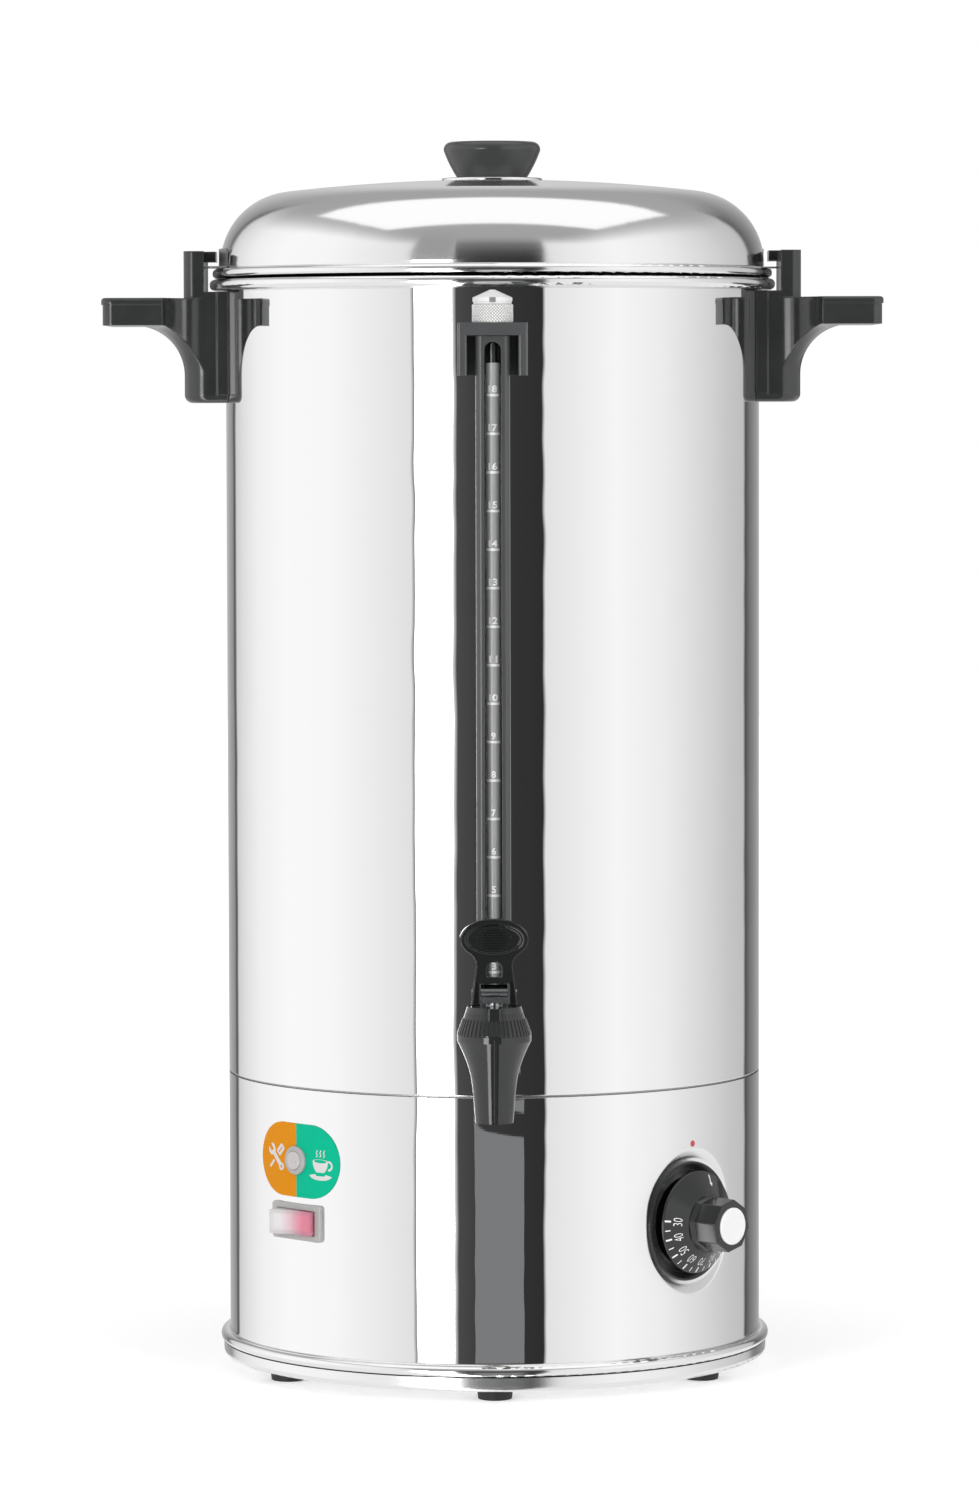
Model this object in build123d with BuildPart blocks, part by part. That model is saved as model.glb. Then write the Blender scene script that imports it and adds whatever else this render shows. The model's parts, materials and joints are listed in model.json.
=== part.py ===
from build123d import *
from math import asin, atan2, cos, degrees, pi, radians, sin, sqrt, tan
import os

# Hot water urn for 18 litres: double-beaded steel tank and lid, bayonet lid lock on the handle
# towers, sight gauge, self-closing pull tap, dial thermostat, rocker switch and ready lamp.
# Millimetres. Origin on the tank axis at the surface it stands on, front towards -Y, up is +Z.

# ---------------------------------------------------------------- clearances
sheet_gap = 0.1        # between sheet parts that nest in each other
rest_gap = 0.35        # between the lid and what it rests on
side_gap = 0.3         # beside a part that moves past another
run_gap = 0.05         # radial, a shaft, stem or pin in its bore
thread_gap = 0.1       # radial, a screw in its hole
seat_gap = 0.05        # between faces that are clamped together
edge_slack = 0.01      # how near a height an edge has to lie to be picked

# ---------------------------------------------------------------- tank
tank_radius = 132.5
sheet = 0.8
seam_height = 148.0
seam_width = 0.8
floor_height = 155.3   # inside floor of the tank, the zero of the gauge
floor_sheet = 1.0
floor_bend = 4.0
flange_drop = 14.0     # floor flange below the seam
rim_height = 541.3
bead_height = 5.5
bead_reach = 7.9
bead_bend = 2.2
bead_lip_gap = 1.2

# ---------------------------------------------------------------- base
foot_height = 5.6
foot_radius = 8.85
foot_taper = 0.6
foot_head_room = 0.8
foot_floor = 3.1
foot_ring_radius = tank_radius - 15.0
foot_count = 6
pan_radius = tank_radius + 3.2
pan_wall = 7.0
pan_bend = 2.5
skirt_bead_reach = 4.5
skirt_bead_height = 5.4
skirt_bead_lift = 0.2
skirt_lip = 7.0
skirt_bend = 1.2
vent_count = 24
vent_ring_radius = 88.0
vent_radius = 2.5

# ---------------------------------------------------------------- fasteners
m3_radius = 1.5
m4_radius = 2.0
m5_radius = 2.5
head_ratio = 1.9       # screw head radius over thread radius
head_height_ratio = 1.1
head_draft = 20.0
nut_ratio = 1.75       # nut across-flats radius over thread radius
nut_height_ratio = 1.6
washer_sheet = 1.0
screw_bite = 9.0
screw_tip_room = 1.0
nut_thread_end = 1.0   # thread that stands past a nut
washer_rim = 0.9

# ---------------------------------------------------------------- lid
lid_sheet = 0.7
lid_wall_radius = tank_radius + 2.45
lid_height = 49.0      # crown above the tank rim
crown_radius = 900.0
shoulder_radius = 36.0
lid_bead_reach = 3.95
lid_bead_height = 5.0
lid_bead_bend = 1.95
lid_foot_bend = 0.9
lip_bend = 1.5
lip_play = 0.7
lip_depth = 7.5
tab_sheet = 0.8
tab_width = 26.0
tab_angle = 10.5
tab_height = 9.6
tab_reach = tank_radius + 10.9
tab_bend = 1.0
knob_radius = 23.9
knob_foot_radius = 17.2
knob_height = 17.8
knob_mid_radius = 21.1
knob_mid_height = 6.8
knob_edge_drop = 4.4
knob_edge_in = 3.1
knob_shoulder_drop = 1.3
knob_shoulder_in = 0.8
knob_dish = 2.0
knob_dish_radius = 19.0
knob_plate_radius = 25.0
knob_plate_sheet = 1.3

# ---------------------------------------------------------------- handles
# Measured from the tank wall and its rim, which the handles hang on.
grip_top = rim_height - 9.3
grip_sheet = 13.5
grip_reach = tank_radius + 58.8
grip_lip = 0.7
grip_lip_height = 3.4
neck_radius = 24.5
grip_corner = 5.0
grip_round = 1.6
flare_radius = 21.0
column_reach = tank_radius + 20.0
column_half_width = 24.0
column_side = tank_radius + 8.1
column_corner = 11.0
column_bottom = rim_height - 61.0
column_foot_round = 4.0
flange_reach = tank_radius + 3.5
flange_step = 1.5
shelf_top = rim_height - 6.1
tower_top = rim_height + 13.9
tower_bore = tank_radius + 11.8
tower_corner = 5.0
hook_half_width = 9.0
hook_reach = tank_radius + 4.5
hook_underside = rim_height + 8.7
handle_screw_low = rim_height - 49.3
handle_screw_high = rim_height - 20.3

# ---------------------------------------------------------------- gauge
gauge_y = tank_radius + 17.5
glass_radius = 3.6
glass_bore = 2.4
glass_in_nut = 7.3
guard_half_width = 8.15
guard_front = gauge_y + 8.0
guard_back = gauge_y - 8.0
guard_wall = 2.6
guard_corner = 3.0
guard_window_half = 4.0
guard_window_top = rim_height - 32.0
guard_top = rim_height - 29.0
cap_half_width = 16.6
cap_leg = 4.5
cap_bridge = 6.0
cap_leg_drop = 19.0
cap_front = gauge_y + 9.5
cap_corner = 1.2
cap_web = 3.0
cap_screw_height = rim_height - 37.3
gauge_nut_radius = 9.8
gauge_nut_height = 8.8
gauge_nut_flutes = 32
flute_radius = 0.6
flute_stand = 0.15
nut_edge = 0.5
nut_ceiling = 2.4
seal_wall = 1.0
vent_neck_radius = 9.05
vent_neck_height = 0.8
vent_step = 0.4
vent_cap_radius = 9.4
vent_cap_height = 3.0
vent_cone_height = 3.7
vent_hole = 0.7
vent_bore = 5.0
vent_tip = 1.2

# ---------------------------------------------------------------- tap
tap_y = tank_radius + 47.5
shank_height = floor_height + 17.2   # the heights in the tap follow the axis of its shank
shank_radius = 9.0
shank_bore = 6.0
shank_flange = 14.5
shank_flange_sheet = 4.0
flange_round = 1.0
shank_length = 15.0
shank_seal_sheet = 2.0
shank_nut_across = 13.0
shank_nut_sheet = 7.0
spout_bottom = shank_height - 31.0
spout_radius = 8.95
spout_bore = 6.6
spout_waist = 9.8
spout_waist_height = shank_height - 20.5
shoulder_mid_radius = 11.6
shoulder_mid_height = shank_height - 7.0
shoulder_low_radius = 13.9
shoulder_low_height = shank_height
tap_rim_radius = 17.5
tap_rim_height = shank_height + 7.8
tap_rim_top = shank_height + 10.9
chamber_radius = 8.0
seat_height = shank_height - 14.5
seat_bore = 5.0
seat_throat = 3.0
chamber_step = 2.0
neck_top = shank_height + 16.5
neck_outer = 12.6
neck_inner = 10.4
bonnet_knurl_top = shank_height + 18.6
bonnet_knurl_radius = 15.0
bonnet_top = shank_height + 24.2
bonnet_top_radius = 12.7
bonnet_band = 0.7
bonnet_step = 0.5
bonnet_crown = 2.6
spring_well = 7.6
bonnet_ribs = 48
bonnet_rib_radius = 0.55
lug_width = 6.0
lug_depth = 4.4
lug_height = 5.9
lug_corner = 0.8
stem_radius = 3.8
pin_height = shank_height + 30.5
pin_radius = 1.5
stem_head_round = 4.2
stem_head_foot = shank_height + 25.7
stem_collar = 2.0
cup_radius = 7.2
cup_height = 6.5
cup_lip = 1.6
cup_edge = 1.5
spring_wire = 0.45     # radius of the wire
spring_radius = 6.2
spring_turns = 5
gauge_block_half = 7.6
gauge_block_top = shank_height + 24.5
gauge_block_corner = 2.0
gauge_socket_radius = 5.6
gauge_socket_depth = 9.0

# ---------------------------------------------------------------- tap lever
paddle_half_width = 16.2
paddle_half_height = 9.9
paddle_top = shank_height + 66.2
lever_neck_half = 8.75
lever_neck_height = shank_height + 43.6
lever_foot_half = 11.0
lever_arm = 4.4
lever_blend = 7.0
lever_heel = 6.0
lever_heel_step = 3.0
heel_gap = 0.45
lever_edge = 0.8
lever_back = 6.5
lever_sheet = 4.2
lever_lean = 4.5
lever_bend_height = shank_height + 36.5
lever_window_half = 3.2
lever_window_bottom = shank_height + 38.4
lever_window_top = shank_height + 45.5
fork_top = shank_height + 35.3
paddle_dish_border = 2.6
paddle_dish_depth = 1.4
paddle_dish_slope = 0.6

# ---------------------------------------------------------------- controls
right_azimuth = 46.7
dial_height = 82.2
dial_sink = 3.45       # the flat pressed into the skirt, below the skirt's curve
flat_radius = 30.3
flat_slope = 5.2       # how far the pressed edge runs out
flat_round = 3.0
crease_round = 1.2
bezel_radius = 29.2
bezel_stand = 1.85
bezel_throat = 21.5
bezel_dish = 1.6
bezel_floor = -4.0
bezel_floor_sheet = 2.0
bezel_spigot = 25.0
bezel_edge = 0.9
dial_radius = 24.9
dial_back = 5.3
dial_rim = 1.2
dial_crown = 13.5      # top of the dial's cone, where the grip starts
dial_crown_radius = 14.4
dial_edge = 0.4
grip_sides = 8
grip_corner_radius = 13.1
grip_flare = 0.9
grip_flare_height = 2.4
grip_turn = 36.0
grip_vertex_round = 1.1
grip_draft = 0.8
grip_end = 28.95
grip_edge = 0.8
cap_radius = 9.0
cap_stand = 0.8
cap_sink = 1.6
dial_shaft_radius = 3.0
dial_shaft_end = 18.0
dial_shaft_depth = 12.0
dial_shaft_flat = 2.2
thermostat_width = 34.0
thermostat_height = 40.0
thermostat_depth = 26.0
thermostat_neck = 6.0
thermostat_nose = 2.5
thermostat_corner = 3.0
bezel_screw_radius = 14.0

left_azimuth = -46.5
plate_height = 112.7
plate_length = 56.0
plate_width = 36.0
plate_sheet = 0.4
lamp_flange = 7.0
lamp_flange_sheet = 1.6
lamp_barrel = 4.9
lamp_depth = 18.0
lamp_body = 6.5
lamp_edge = 0.8
lamp_barrel_length = 8.0
lens_radius = 4.6
lens_stand = 2.6
lens_edge = 1.0
lens_ledge = 0.7
switch_height = 82.7
switch_length = 35.0
switch_width = 18.0
switch_corner = 2.0
switch_flange = 2.4
switch_seat = -1.4
switch_edge = 0.8
switch_spigot = 2.6
switch_cavity = 4.4
switch_body_length = 29.6
switch_body_width = 14.4
switch_body_depth = 20.0
rocker_length = 24.6
rocker_width = 11.6
rocker_pivot = -0.6
rocker_ridge = 4.4
rocker_rise = 12.0
rocker_tilt = 12.0
rocker_window_length = 27.4
rocker_under = 2.6
pivot_radius = 1.2
pivot_reach = 0.9

# ---------------------------------------------------------------- heating and mains
plate_radius = 92.0
plate_thick = 4.0
heater_ring = 72.0
heater_radius = 4.2
heater_sweep = 320.0
heater_tail = 22.0
terminal_length = 4.5
terminal_radius = 1.6
cutout_radius = 8.5
cutout_height = 9.0
cutout_ear = 12.0
cutout_y = 34.0
bulb_radius = 3.0
bulb_length = 62.0
bulb_end = 61.5
tube_bend = 3.5
tube_rise = 9.0
tube_radius = 0.8
clip_sheet = 0.8
clip_width = 9.0
clip_ear = 6.0
block_length = 34.0
block_depth = 18.0
block_height = 16.0
block_edge = 1.0
block_y = 62.0
block_well = 3.6
block_well_depth = 4.0
wire_radius = 2.2
wire_height = 6.0
stud_radius = 2.5
stud_ring_radius = 62.0
stud_count = 3
stud_start = 30.0
gland_height = 42.0
gland_bore = 4.0
gland_radius = 9.0
gland_flange = 12.0
gland_sheet = 3.0
gland_hex = 11.0
gland_reach = 14.0
gland_inside = 12.0
gland_draft = 3.0
gland_nut_across = 12.5
gland_nut_sheet = 5.0

# ---------------------------------------------------------------- values worked out once
tank_bore = tank_radius - sheet
tank_mid = tank_radius - sheet / 2
lid_foot = rim_height + rest_gap
lid_top = rim_height + lid_height
knob_seat = lid_top - knob_plate_radius ** 2 / (2 * crown_radius) + sheet_gap
skirt_bead_foot = foot_height + pan_wall + skirt_bead_lift
floor_under = floor_height - floor_sheet
heat_under = floor_under - seat_gap - plate_thick
gauge_axis = Axis((0, -gauge_y, 0), (0, 0, 1))
tap_axis = Axis((0, -tap_y, 0), (0, 0, 1))
gauge_plane = Plane.XZ.offset(gauge_y)
tap_plane = Plane.XZ.offset(tap_y)

os.makedirs("parts", exist_ok=True)


def save(builder, name):
    """Label a finished sub-part and write it to its own file."""
    builder.part.label = name
    export_step(builder.part, f"parts/{name}.step")


def wall_plane(azimuth, height, stand=0.0):
    """Plane facing out of the tank wall at an azimuth from the front, z out, y up."""
    out_x = sin(radians(azimuth))
    out_y = -cos(radians(azimuth))
    reach = tank_radius + stand
    return Plane(
        origin=(out_x * reach, out_y * reach, height),
        x_dir=(-out_y, out_x, 0),
        z_dir=(out_x, out_y, 0),
    )


def screw(plane, radius, length):
    """Pan-head screw: the head on the plane's outer side, the thread going inwards."""
    with BuildSketch(plane) as head:
        Circle(radius * head_ratio)
    extrude(head.sketch, amount=radius * head_height_ratio, taper=head_draft)
    with BuildSketch(plane) as thread:
        Circle(radius)
    extrude(thread.sketch, amount=-length)


def nut_standoff(across):
    """How far a hexagon nut's face stands off the middle of the curved inner wall."""
    corner = across / cos(pi / 6)
    return corner ** 2 / (2 * tank_bore) + 2 * seat_gap


def edges_at(plane, stand):
    """The current part's edges that lie at one height above a plane."""
    along = Axis(plane.origin, plane.z_dir)
    return edges().filter_by_position(along, stand - edge_slack, stand + edge_slack)


dial_plane = wall_plane(right_azimuth, dial_height, -dial_sink)
dial_axis = Axis(dial_plane.origin, dial_plane.z_dir)
dial_section = Plane(
    dial_plane.origin, x_dir=dial_plane.y_dir, z_dir=dial_plane.y_dir.cross(dial_plane.z_dir)
)
lamp_plane = wall_plane(left_azimuth, plate_height)
switch_plane = wall_plane(left_azimuth, switch_height)
gland_plane = wall_plane(180, gland_height)
shank_plane = wall_plane(0, shank_height)
cap_screw_plane = wall_plane(0, cap_screw_height)
handle_planes = [
    wall_plane(azimuth, height)
    for azimuth in (-90, 90)
    for height in (handle_screw_low, handle_screw_high)
]

# ================================================================ tank

with BuildPart() as tank_shell:
    with BuildSketch(Plane.XZ):
        with BuildLine():
            FilletPolyline(
                (tank_mid, seam_height + seam_width / 2),
                (tank_mid, rim_height - sheet / 2),
                (tank_radius + bead_reach - sheet / 2, rim_height - sheet / 2),
                (tank_radius + bead_reach - sheet / 2, rim_height - bead_height + sheet / 2),
                (tank_radius + bead_lip_gap, rim_height - bead_height + sheet / 2),
                radius=bead_bend,
            )
        trace(line_width=sheet)
    revolve(axis=Axis.Z)
    for plane in handle_planes:
        with BuildSketch(plane):
            Circle(m5_radius + thread_gap)
        extrude(amount=-2 * sheet, both=True, mode=Mode.SUBTRACT)
    with BuildSketch(shank_plane):
        Circle(shank_radius + thread_gap)
    extrude(amount=2 * sheet, both=True, mode=Mode.SUBTRACT)
    with BuildSketch(cap_screw_plane):
        Circle(m4_radius + thread_gap)
    extrude(amount=2 * sheet, both=True, mode=Mode.SUBTRACT)
save(tank_shell, "tank_shell")

with BuildPart() as tank_bottom:
    with BuildSketch(Plane.XZ):
        with BuildLine():
            FilletPolyline(
                (0, floor_height - floor_sheet / 2),
                (tank_bore - sheet_gap - floor_sheet / 2, floor_height - floor_sheet / 2),
                (tank_bore - sheet_gap - floor_sheet / 2, seam_height - flange_drop),
                radius=floor_bend,
            )
        trace(line_width=floor_sheet)
    revolve(axis=Axis.Z)
save(tank_bottom, "tank_bottom")

# ================================================================ base

press_reach = flat_radius + 2 * flat_slope
press_top = 2 * dial_sink


def pressed_face(drop):
    """Block behind one face of the pressed skirt: the curved wall, dished to a flat."""
    with BuildSketch(dial_plane.offset(-press_reach / 2)) as block:
        Circle(press_reach)
    extrude(block.sketch, amount=press_reach / 2 + dial_sink)
    with BuildSketch(Plane.XY.offset(dial_height - press_reach)) as wall:
        Circle(tank_radius - drop)
    extrude(wall.sketch, amount=2 * press_reach, mode=Mode.INTERSECT)
    with BuildSketch(dial_section) as dish:
        Polygon(
            (0, -drop),
            (flat_radius, -drop),
            (flat_radius + 2 * flat_slope, press_top - drop),
            (0, press_top - drop),
            align=None,
        )
        fillet(vertices().group_by(Axis.Y)[0].sort_by(Axis.X)[-1], flat_round)
    revolve(dish.sketch, axis=dial_axis, mode=Mode.SUBTRACT)
    creases = edges().filter_by(GeomType.BSPLINE).sort_by(SortBy.LENGTH)[:-1]
    fillet(creases, crease_round)


with BuildPart() as flat_outside:
    pressed_face(0)

with BuildPart() as flat_inside:
    pressed_face(sheet)

pressed_flat = flat_outside.part - flat_inside.part
with BuildPart() as base_skirt:
    with BuildSketch(Plane.XZ):
        with BuildLine():
            FilletPolyline(
                (tank_mid, seam_height - seam_width / 2),
                (tank_mid, skirt_bead_foot + skirt_bead_height - sheet / 2),
                (tank_radius + skirt_bead_reach - sheet / 2, skirt_bead_foot + skirt_bead_height - sheet / 2),
                (tank_radius + skirt_bead_reach - sheet / 2, skirt_bead_foot + sheet / 2),
                (tank_bore - skirt_lip, skirt_bead_foot + sheet / 2),
                radius=(skirt_bend, bead_bend, bead_bend),
            )
        trace(line_width=sheet)
    revolve(axis=Axis.Z)
    with BuildSketch(dial_plane):
        Circle(press_reach)
    extrude(amount=press_reach / 2, both=True, mode=Mode.SUBTRACT)
    add(pressed_flat)
    with BuildSketch(dial_plane):
        Circle(bezel_spigot + sheet_gap)
    extrude(amount=bezel_radius / 2, both=True, mode=Mode.SUBTRACT)
    with BuildSketch(lamp_plane):
        Circle(lamp_barrel + thread_gap)
    extrude(amount=2 * sheet, both=True, mode=Mode.SUBTRACT)
    with BuildSketch(switch_plane):
        Rectangle(switch_body_length + 2 * sheet_gap, switch_body_width + 2 * sheet_gap)
    extrude(amount=switch_width / 2, both=True, mode=Mode.SUBTRACT)
    with BuildSketch(gland_plane):
        Circle(gland_radius + thread_gap)
    extrude(amount=2 * sheet, both=True, mode=Mode.SUBTRACT)
save(base_skirt, "base_skirt")

with BuildPart() as base_plate:
    with BuildSketch(Plane.XZ):
        with BuildLine():
            FilletPolyline(
                (0, foot_height + sheet / 2),
                (pan_radius - sheet / 2, foot_height + sheet / 2),
                (pan_radius - sheet / 2, foot_height + pan_wall),
                radius=pan_bend,
            )
        trace(line_width=sheet)
    revolve(axis=Axis.Z)
    with BuildSketch(Plane.XY.offset(foot_height)):
        with PolarLocations(foot_ring_radius, foot_count, start_angle=-90):
            Circle(m4_radius + thread_gap)
        with PolarLocations(stud_ring_radius, stud_count, start_angle=stud_start):
            Circle(stud_radius + thread_gap)
        with PolarLocations(vent_ring_radius, vent_count):
            Circle(vent_radius)
    extrude(amount=sheet, mode=Mode.SUBTRACT)
save(base_plate, "base_plate")

foot_recess = m4_radius * head_ratio + foot_head_room
with BuildPart() as rubber_feet:
    with PolarLocations(foot_ring_radius, foot_count, start_angle=-90):
        with Locations((0, 0, 0)):
            Cone(
                foot_radius - foot_taper, foot_radius, foot_height,
                align=(Align.CENTER, Align.CENTER, Align.MIN),
            )
    fillet(edges().group_by(Axis.Z)[0], foot_taper)
    with BuildSketch(Plane.XY):
        with PolarLocations(foot_ring_radius, foot_count, start_angle=-90):
            Circle(foot_recess)
    extrude(amount=foot_floor, mode=Mode.SUBTRACT)
    with BuildSketch(Plane.XY):
        with PolarLocations(foot_ring_radius, foot_count, start_angle=-90):
            Circle(m4_radius + thread_gap)
    extrude(amount=foot_height, mode=Mode.SUBTRACT)
save(rubber_feet, "rubber_feet")

foot_head = m4_radius * head_height_ratio
foot_nut_foot = foot_height + sheet + seat_gap
foot_nut_height = m4_radius * nut_height_ratio
with BuildPart() as foot_screws:
    with BuildSketch(Plane.XY.offset(foot_floor - seat_gap - foot_head)):
        with PolarLocations(foot_ring_radius, foot_count, start_angle=-90):
            Circle(m4_radius * head_ratio)
    extrude(amount=foot_head)
    with BuildSketch(Plane.XY.offset(foot_floor - seat_gap)):
        with PolarLocations(foot_ring_radius, foot_count, start_angle=-90):
            Circle(m4_radius)
    extrude(amount=foot_nut_foot + foot_nut_height + nut_thread_end - foot_floor + seat_gap)
save(foot_screws, "foot_screws")

with BuildPart() as foot_nuts:
    with BuildSketch(Plane.XY.offset(foot_nut_foot)):
        with PolarLocations(foot_ring_radius, foot_count, start_angle=-90):
            RegularPolygon(m4_radius * nut_ratio, 6, major_radius=False)
            Circle(m4_radius + thread_gap, mode=Mode.SUBTRACT)
    extrude(amount=foot_nut_height)
save(foot_nuts, "foot_nuts")

stud_nut_height = stud_radius * nut_height_ratio
with BuildPart() as base_studs:
    with BuildSketch(Plane.XY.offset(foot_height - stud_nut_height)):
        with PolarLocations(stud_ring_radius, stud_count, start_angle=stud_start):
            Circle(stud_radius)
    extrude(amount=heat_under - seat_gap - foot_height + stud_nut_height)
save(base_studs, "base_studs")

with BuildPart() as base_nuts:
    with BuildSketch(Plane.XY.offset(foot_height - seat_gap - stud_nut_height)):
        with PolarLocations(stud_ring_radius, stud_count, start_angle=stud_start):
            RegularPolygon(stud_radius * nut_ratio, 6, major_radius=False)
            Circle(stud_radius + thread_gap, mode=Mode.SUBTRACT)
    extrude(amount=stud_nut_height)
save(base_nuts, "base_nuts")

# ================================================================ lid

# The crown arc and the shoulder arc are tangent; the shoulder is tangent to the upright wall.
shoulder_x = lid_wall_radius - shoulder_radius
centre_span = crown_radius - shoulder_radius
shoulder_z = lid_top - crown_radius + sqrt(centre_span ** 2 - shoulder_x ** 2)
blend_angle = degrees(atan2(shoulder_z - lid_top + crown_radius, shoulder_x))
wall_mid = lid_wall_radius - lid_sheet / 2
lid_bead_top = lid_foot + lid_bead_height - lid_sheet / 2
lid_bead_under = lid_foot + lid_sheet / 2
lip_mid = tank_bore - lip_play - lid_sheet / 2
with BuildPart() as lid_shell:
    with BuildSketch(Plane.XZ):
        with BuildLine():
            CenterArc((0, lid_top - crown_radius), crown_radius - lid_sheet / 2, 90, blend_angle - 90)
            CenterArc(
                (shoulder_x, shoulder_z), shoulder_radius - lid_sheet / 2, blend_angle, -blend_angle
            )
            FilletPolyline(
                (wall_mid, shoulder_z),
                (wall_mid, lid_bead_top),
                (lid_wall_radius + lid_bead_reach - lid_sheet / 2, lid_bead_top),
                (lid_wall_radius + lid_bead_reach - lid_sheet / 2, lid_bead_under),
                (lip_mid, lid_bead_under),
                (lip_mid, lid_foot - lip_depth),
                radius=(lid_foot_bend, lid_bead_bend, lid_bead_bend, lip_bend),
            )
        trace(line_width=lid_sheet)
    revolve(axis=Axis.Z)
    with BuildSketch(Plane.XY.offset(lid_top)):
        Circle(m5_radius + thread_gap)
    extrude(amount=3 * lid_sheet, both=True, mode=Mode.SUBTRACT)
save(lid_shell, "lid_shell")

tab_foot = lid_foot + lid_bead_height + sheet_gap
tab_inner = lid_wall_radius + sheet_gap
tab_turn = degrees(asin(tab_width / 2 / tank_radius))
with BuildPart() as lid_lock_tabs:
    for side in (0, 180):
        with BuildSketch(Plane.XZ.rotated((0, 0, side + tab_angle - tab_turn))):
            with BuildLine():
                FilletPolyline(
                    (tab_inner + tab_sheet / 2, tab_foot + tab_height),
                    (tab_inner + tab_sheet / 2, tab_foot + tab_sheet / 2),
                    (tab_reach, tab_foot + tab_sheet / 2),
                    radius=tab_bend,
                )
            trace(line_width=tab_sheet)
        revolve(axis=Axis.Z, revolution_arc=2 * tab_turn)
save(lid_lock_tabs, "lid_lock_tabs")

knob_foot = knob_seat + knob_plate_sheet + sheet_gap
with BuildPart() as knob_plate:
    with BuildSketch(Plane.XY.offset(knob_seat)):
        Circle(knob_plate_radius)
        Circle(m5_radius + thread_gap, mode=Mode.SUBTRACT)
    extrude(amount=knob_plate_sheet)
    fillet(edges().group_by(Axis.Z)[-1].sort_by(SortBy.RADIUS)[-1], knob_plate_sheet / 2)
    with Locations((0, 0, lid_top - crown_radius)):
        Sphere(crown_radius + sheet_gap, mode=Mode.SUBTRACT)
save(knob_plate, "knob_plate")

knob_top = knob_foot + knob_height
knob_rim = knob_top - knob_edge_drop
dish_sphere = (knob_dish_radius ** 2 + knob_dish ** 2) / (2 * knob_dish)
with BuildPart() as lid_knob:
    with BuildSketch(Plane.XZ):
        with BuildLine():
            Line((0, knob_foot), (knob_foot_radius, knob_foot))
            ThreePointArc(
                (knob_foot_radius, knob_foot),
                (knob_mid_radius, knob_foot + knob_mid_height),
                (knob_radius, knob_rim),
            )
            ThreePointArc(
                (knob_radius, knob_rim),
                (knob_radius - knob_shoulder_in, knob_top - knob_shoulder_drop),
                (knob_radius - knob_edge_in, knob_top),
            )
            Polyline((knob_radius - knob_edge_in, knob_top), (0, knob_top), (0, knob_foot))
        make_face()
    revolve(axis=Axis.Z)
    with Locations((0, 0, knob_top - knob_dish + dish_sphere)):
        Sphere(dish_sphere, mode=Mode.SUBTRACT)
    with BuildSketch(Plane.XY.offset(knob_foot)):
        Circle(m5_radius + thread_gap)
    extrude(amount=screw_bite + screw_tip_room, mode=Mode.SUBTRACT)
save(lid_knob, "lid_knob")

knob_washer_top = lid_top - lid_sheet - sheet_gap
with BuildPart() as knob_washer:
    with BuildSketch(Plane.XY.offset(knob_washer_top - washer_sheet)):
        Circle(m5_radius * 3)
        Circle(m5_radius + thread_gap, mode=Mode.SUBTRACT)
    extrude(amount=washer_sheet)
save(knob_washer, "knob_washer")

knob_screw_plane = Plane(
    origin=(0, 0, knob_washer_top - washer_sheet - seat_gap), x_dir=(1, 0, 0), z_dir=(0, 0, -1)
)
with BuildPart() as knob_screw:
    screw(knob_screw_plane, m5_radius, knob_foot + screw_bite - knob_washer_top + washer_sheet)
save(knob_screw, "knob_screw")

# ================================================================ handles

column_inner = tank_radius - bead_reach
flare_end = column_side + flare_radius
grip_half = column_half_width + flare_radius
foot_edges_from = column_inner + rest_gap


def column_outline(corner):
    """Plan of the column: straight sides and a rounded nose, open to the tank."""
    Polygon(
        (column_inner, -column_half_width),
        (column_reach, -column_half_width),
        (column_reach, column_half_width),
        (column_inner, column_half_width),
        align=None,
    )
    fillet(vertices().group_by(Axis.X)[-1], corner)


def flare_side(side):
    """One side of the grip's plan: straight along the column, then a hollow quarter curve."""
    Line((column_inner, side * column_half_width), (column_side, side * column_half_width))
    ThreePointArc(
        (column_side, side * column_half_width),
        (
            column_side + flare_radius * sin(pi / 4),
            side * (column_half_width + flare_radius * (1 - cos(pi / 4))),
        ),
        (flare_end, side * (column_half_width + flare_radius)),
    )
    Line(
        (flare_end, side * (column_half_width + flare_radius)),
        (grip_reach, side * (column_half_width + flare_radius)),
    )


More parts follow.
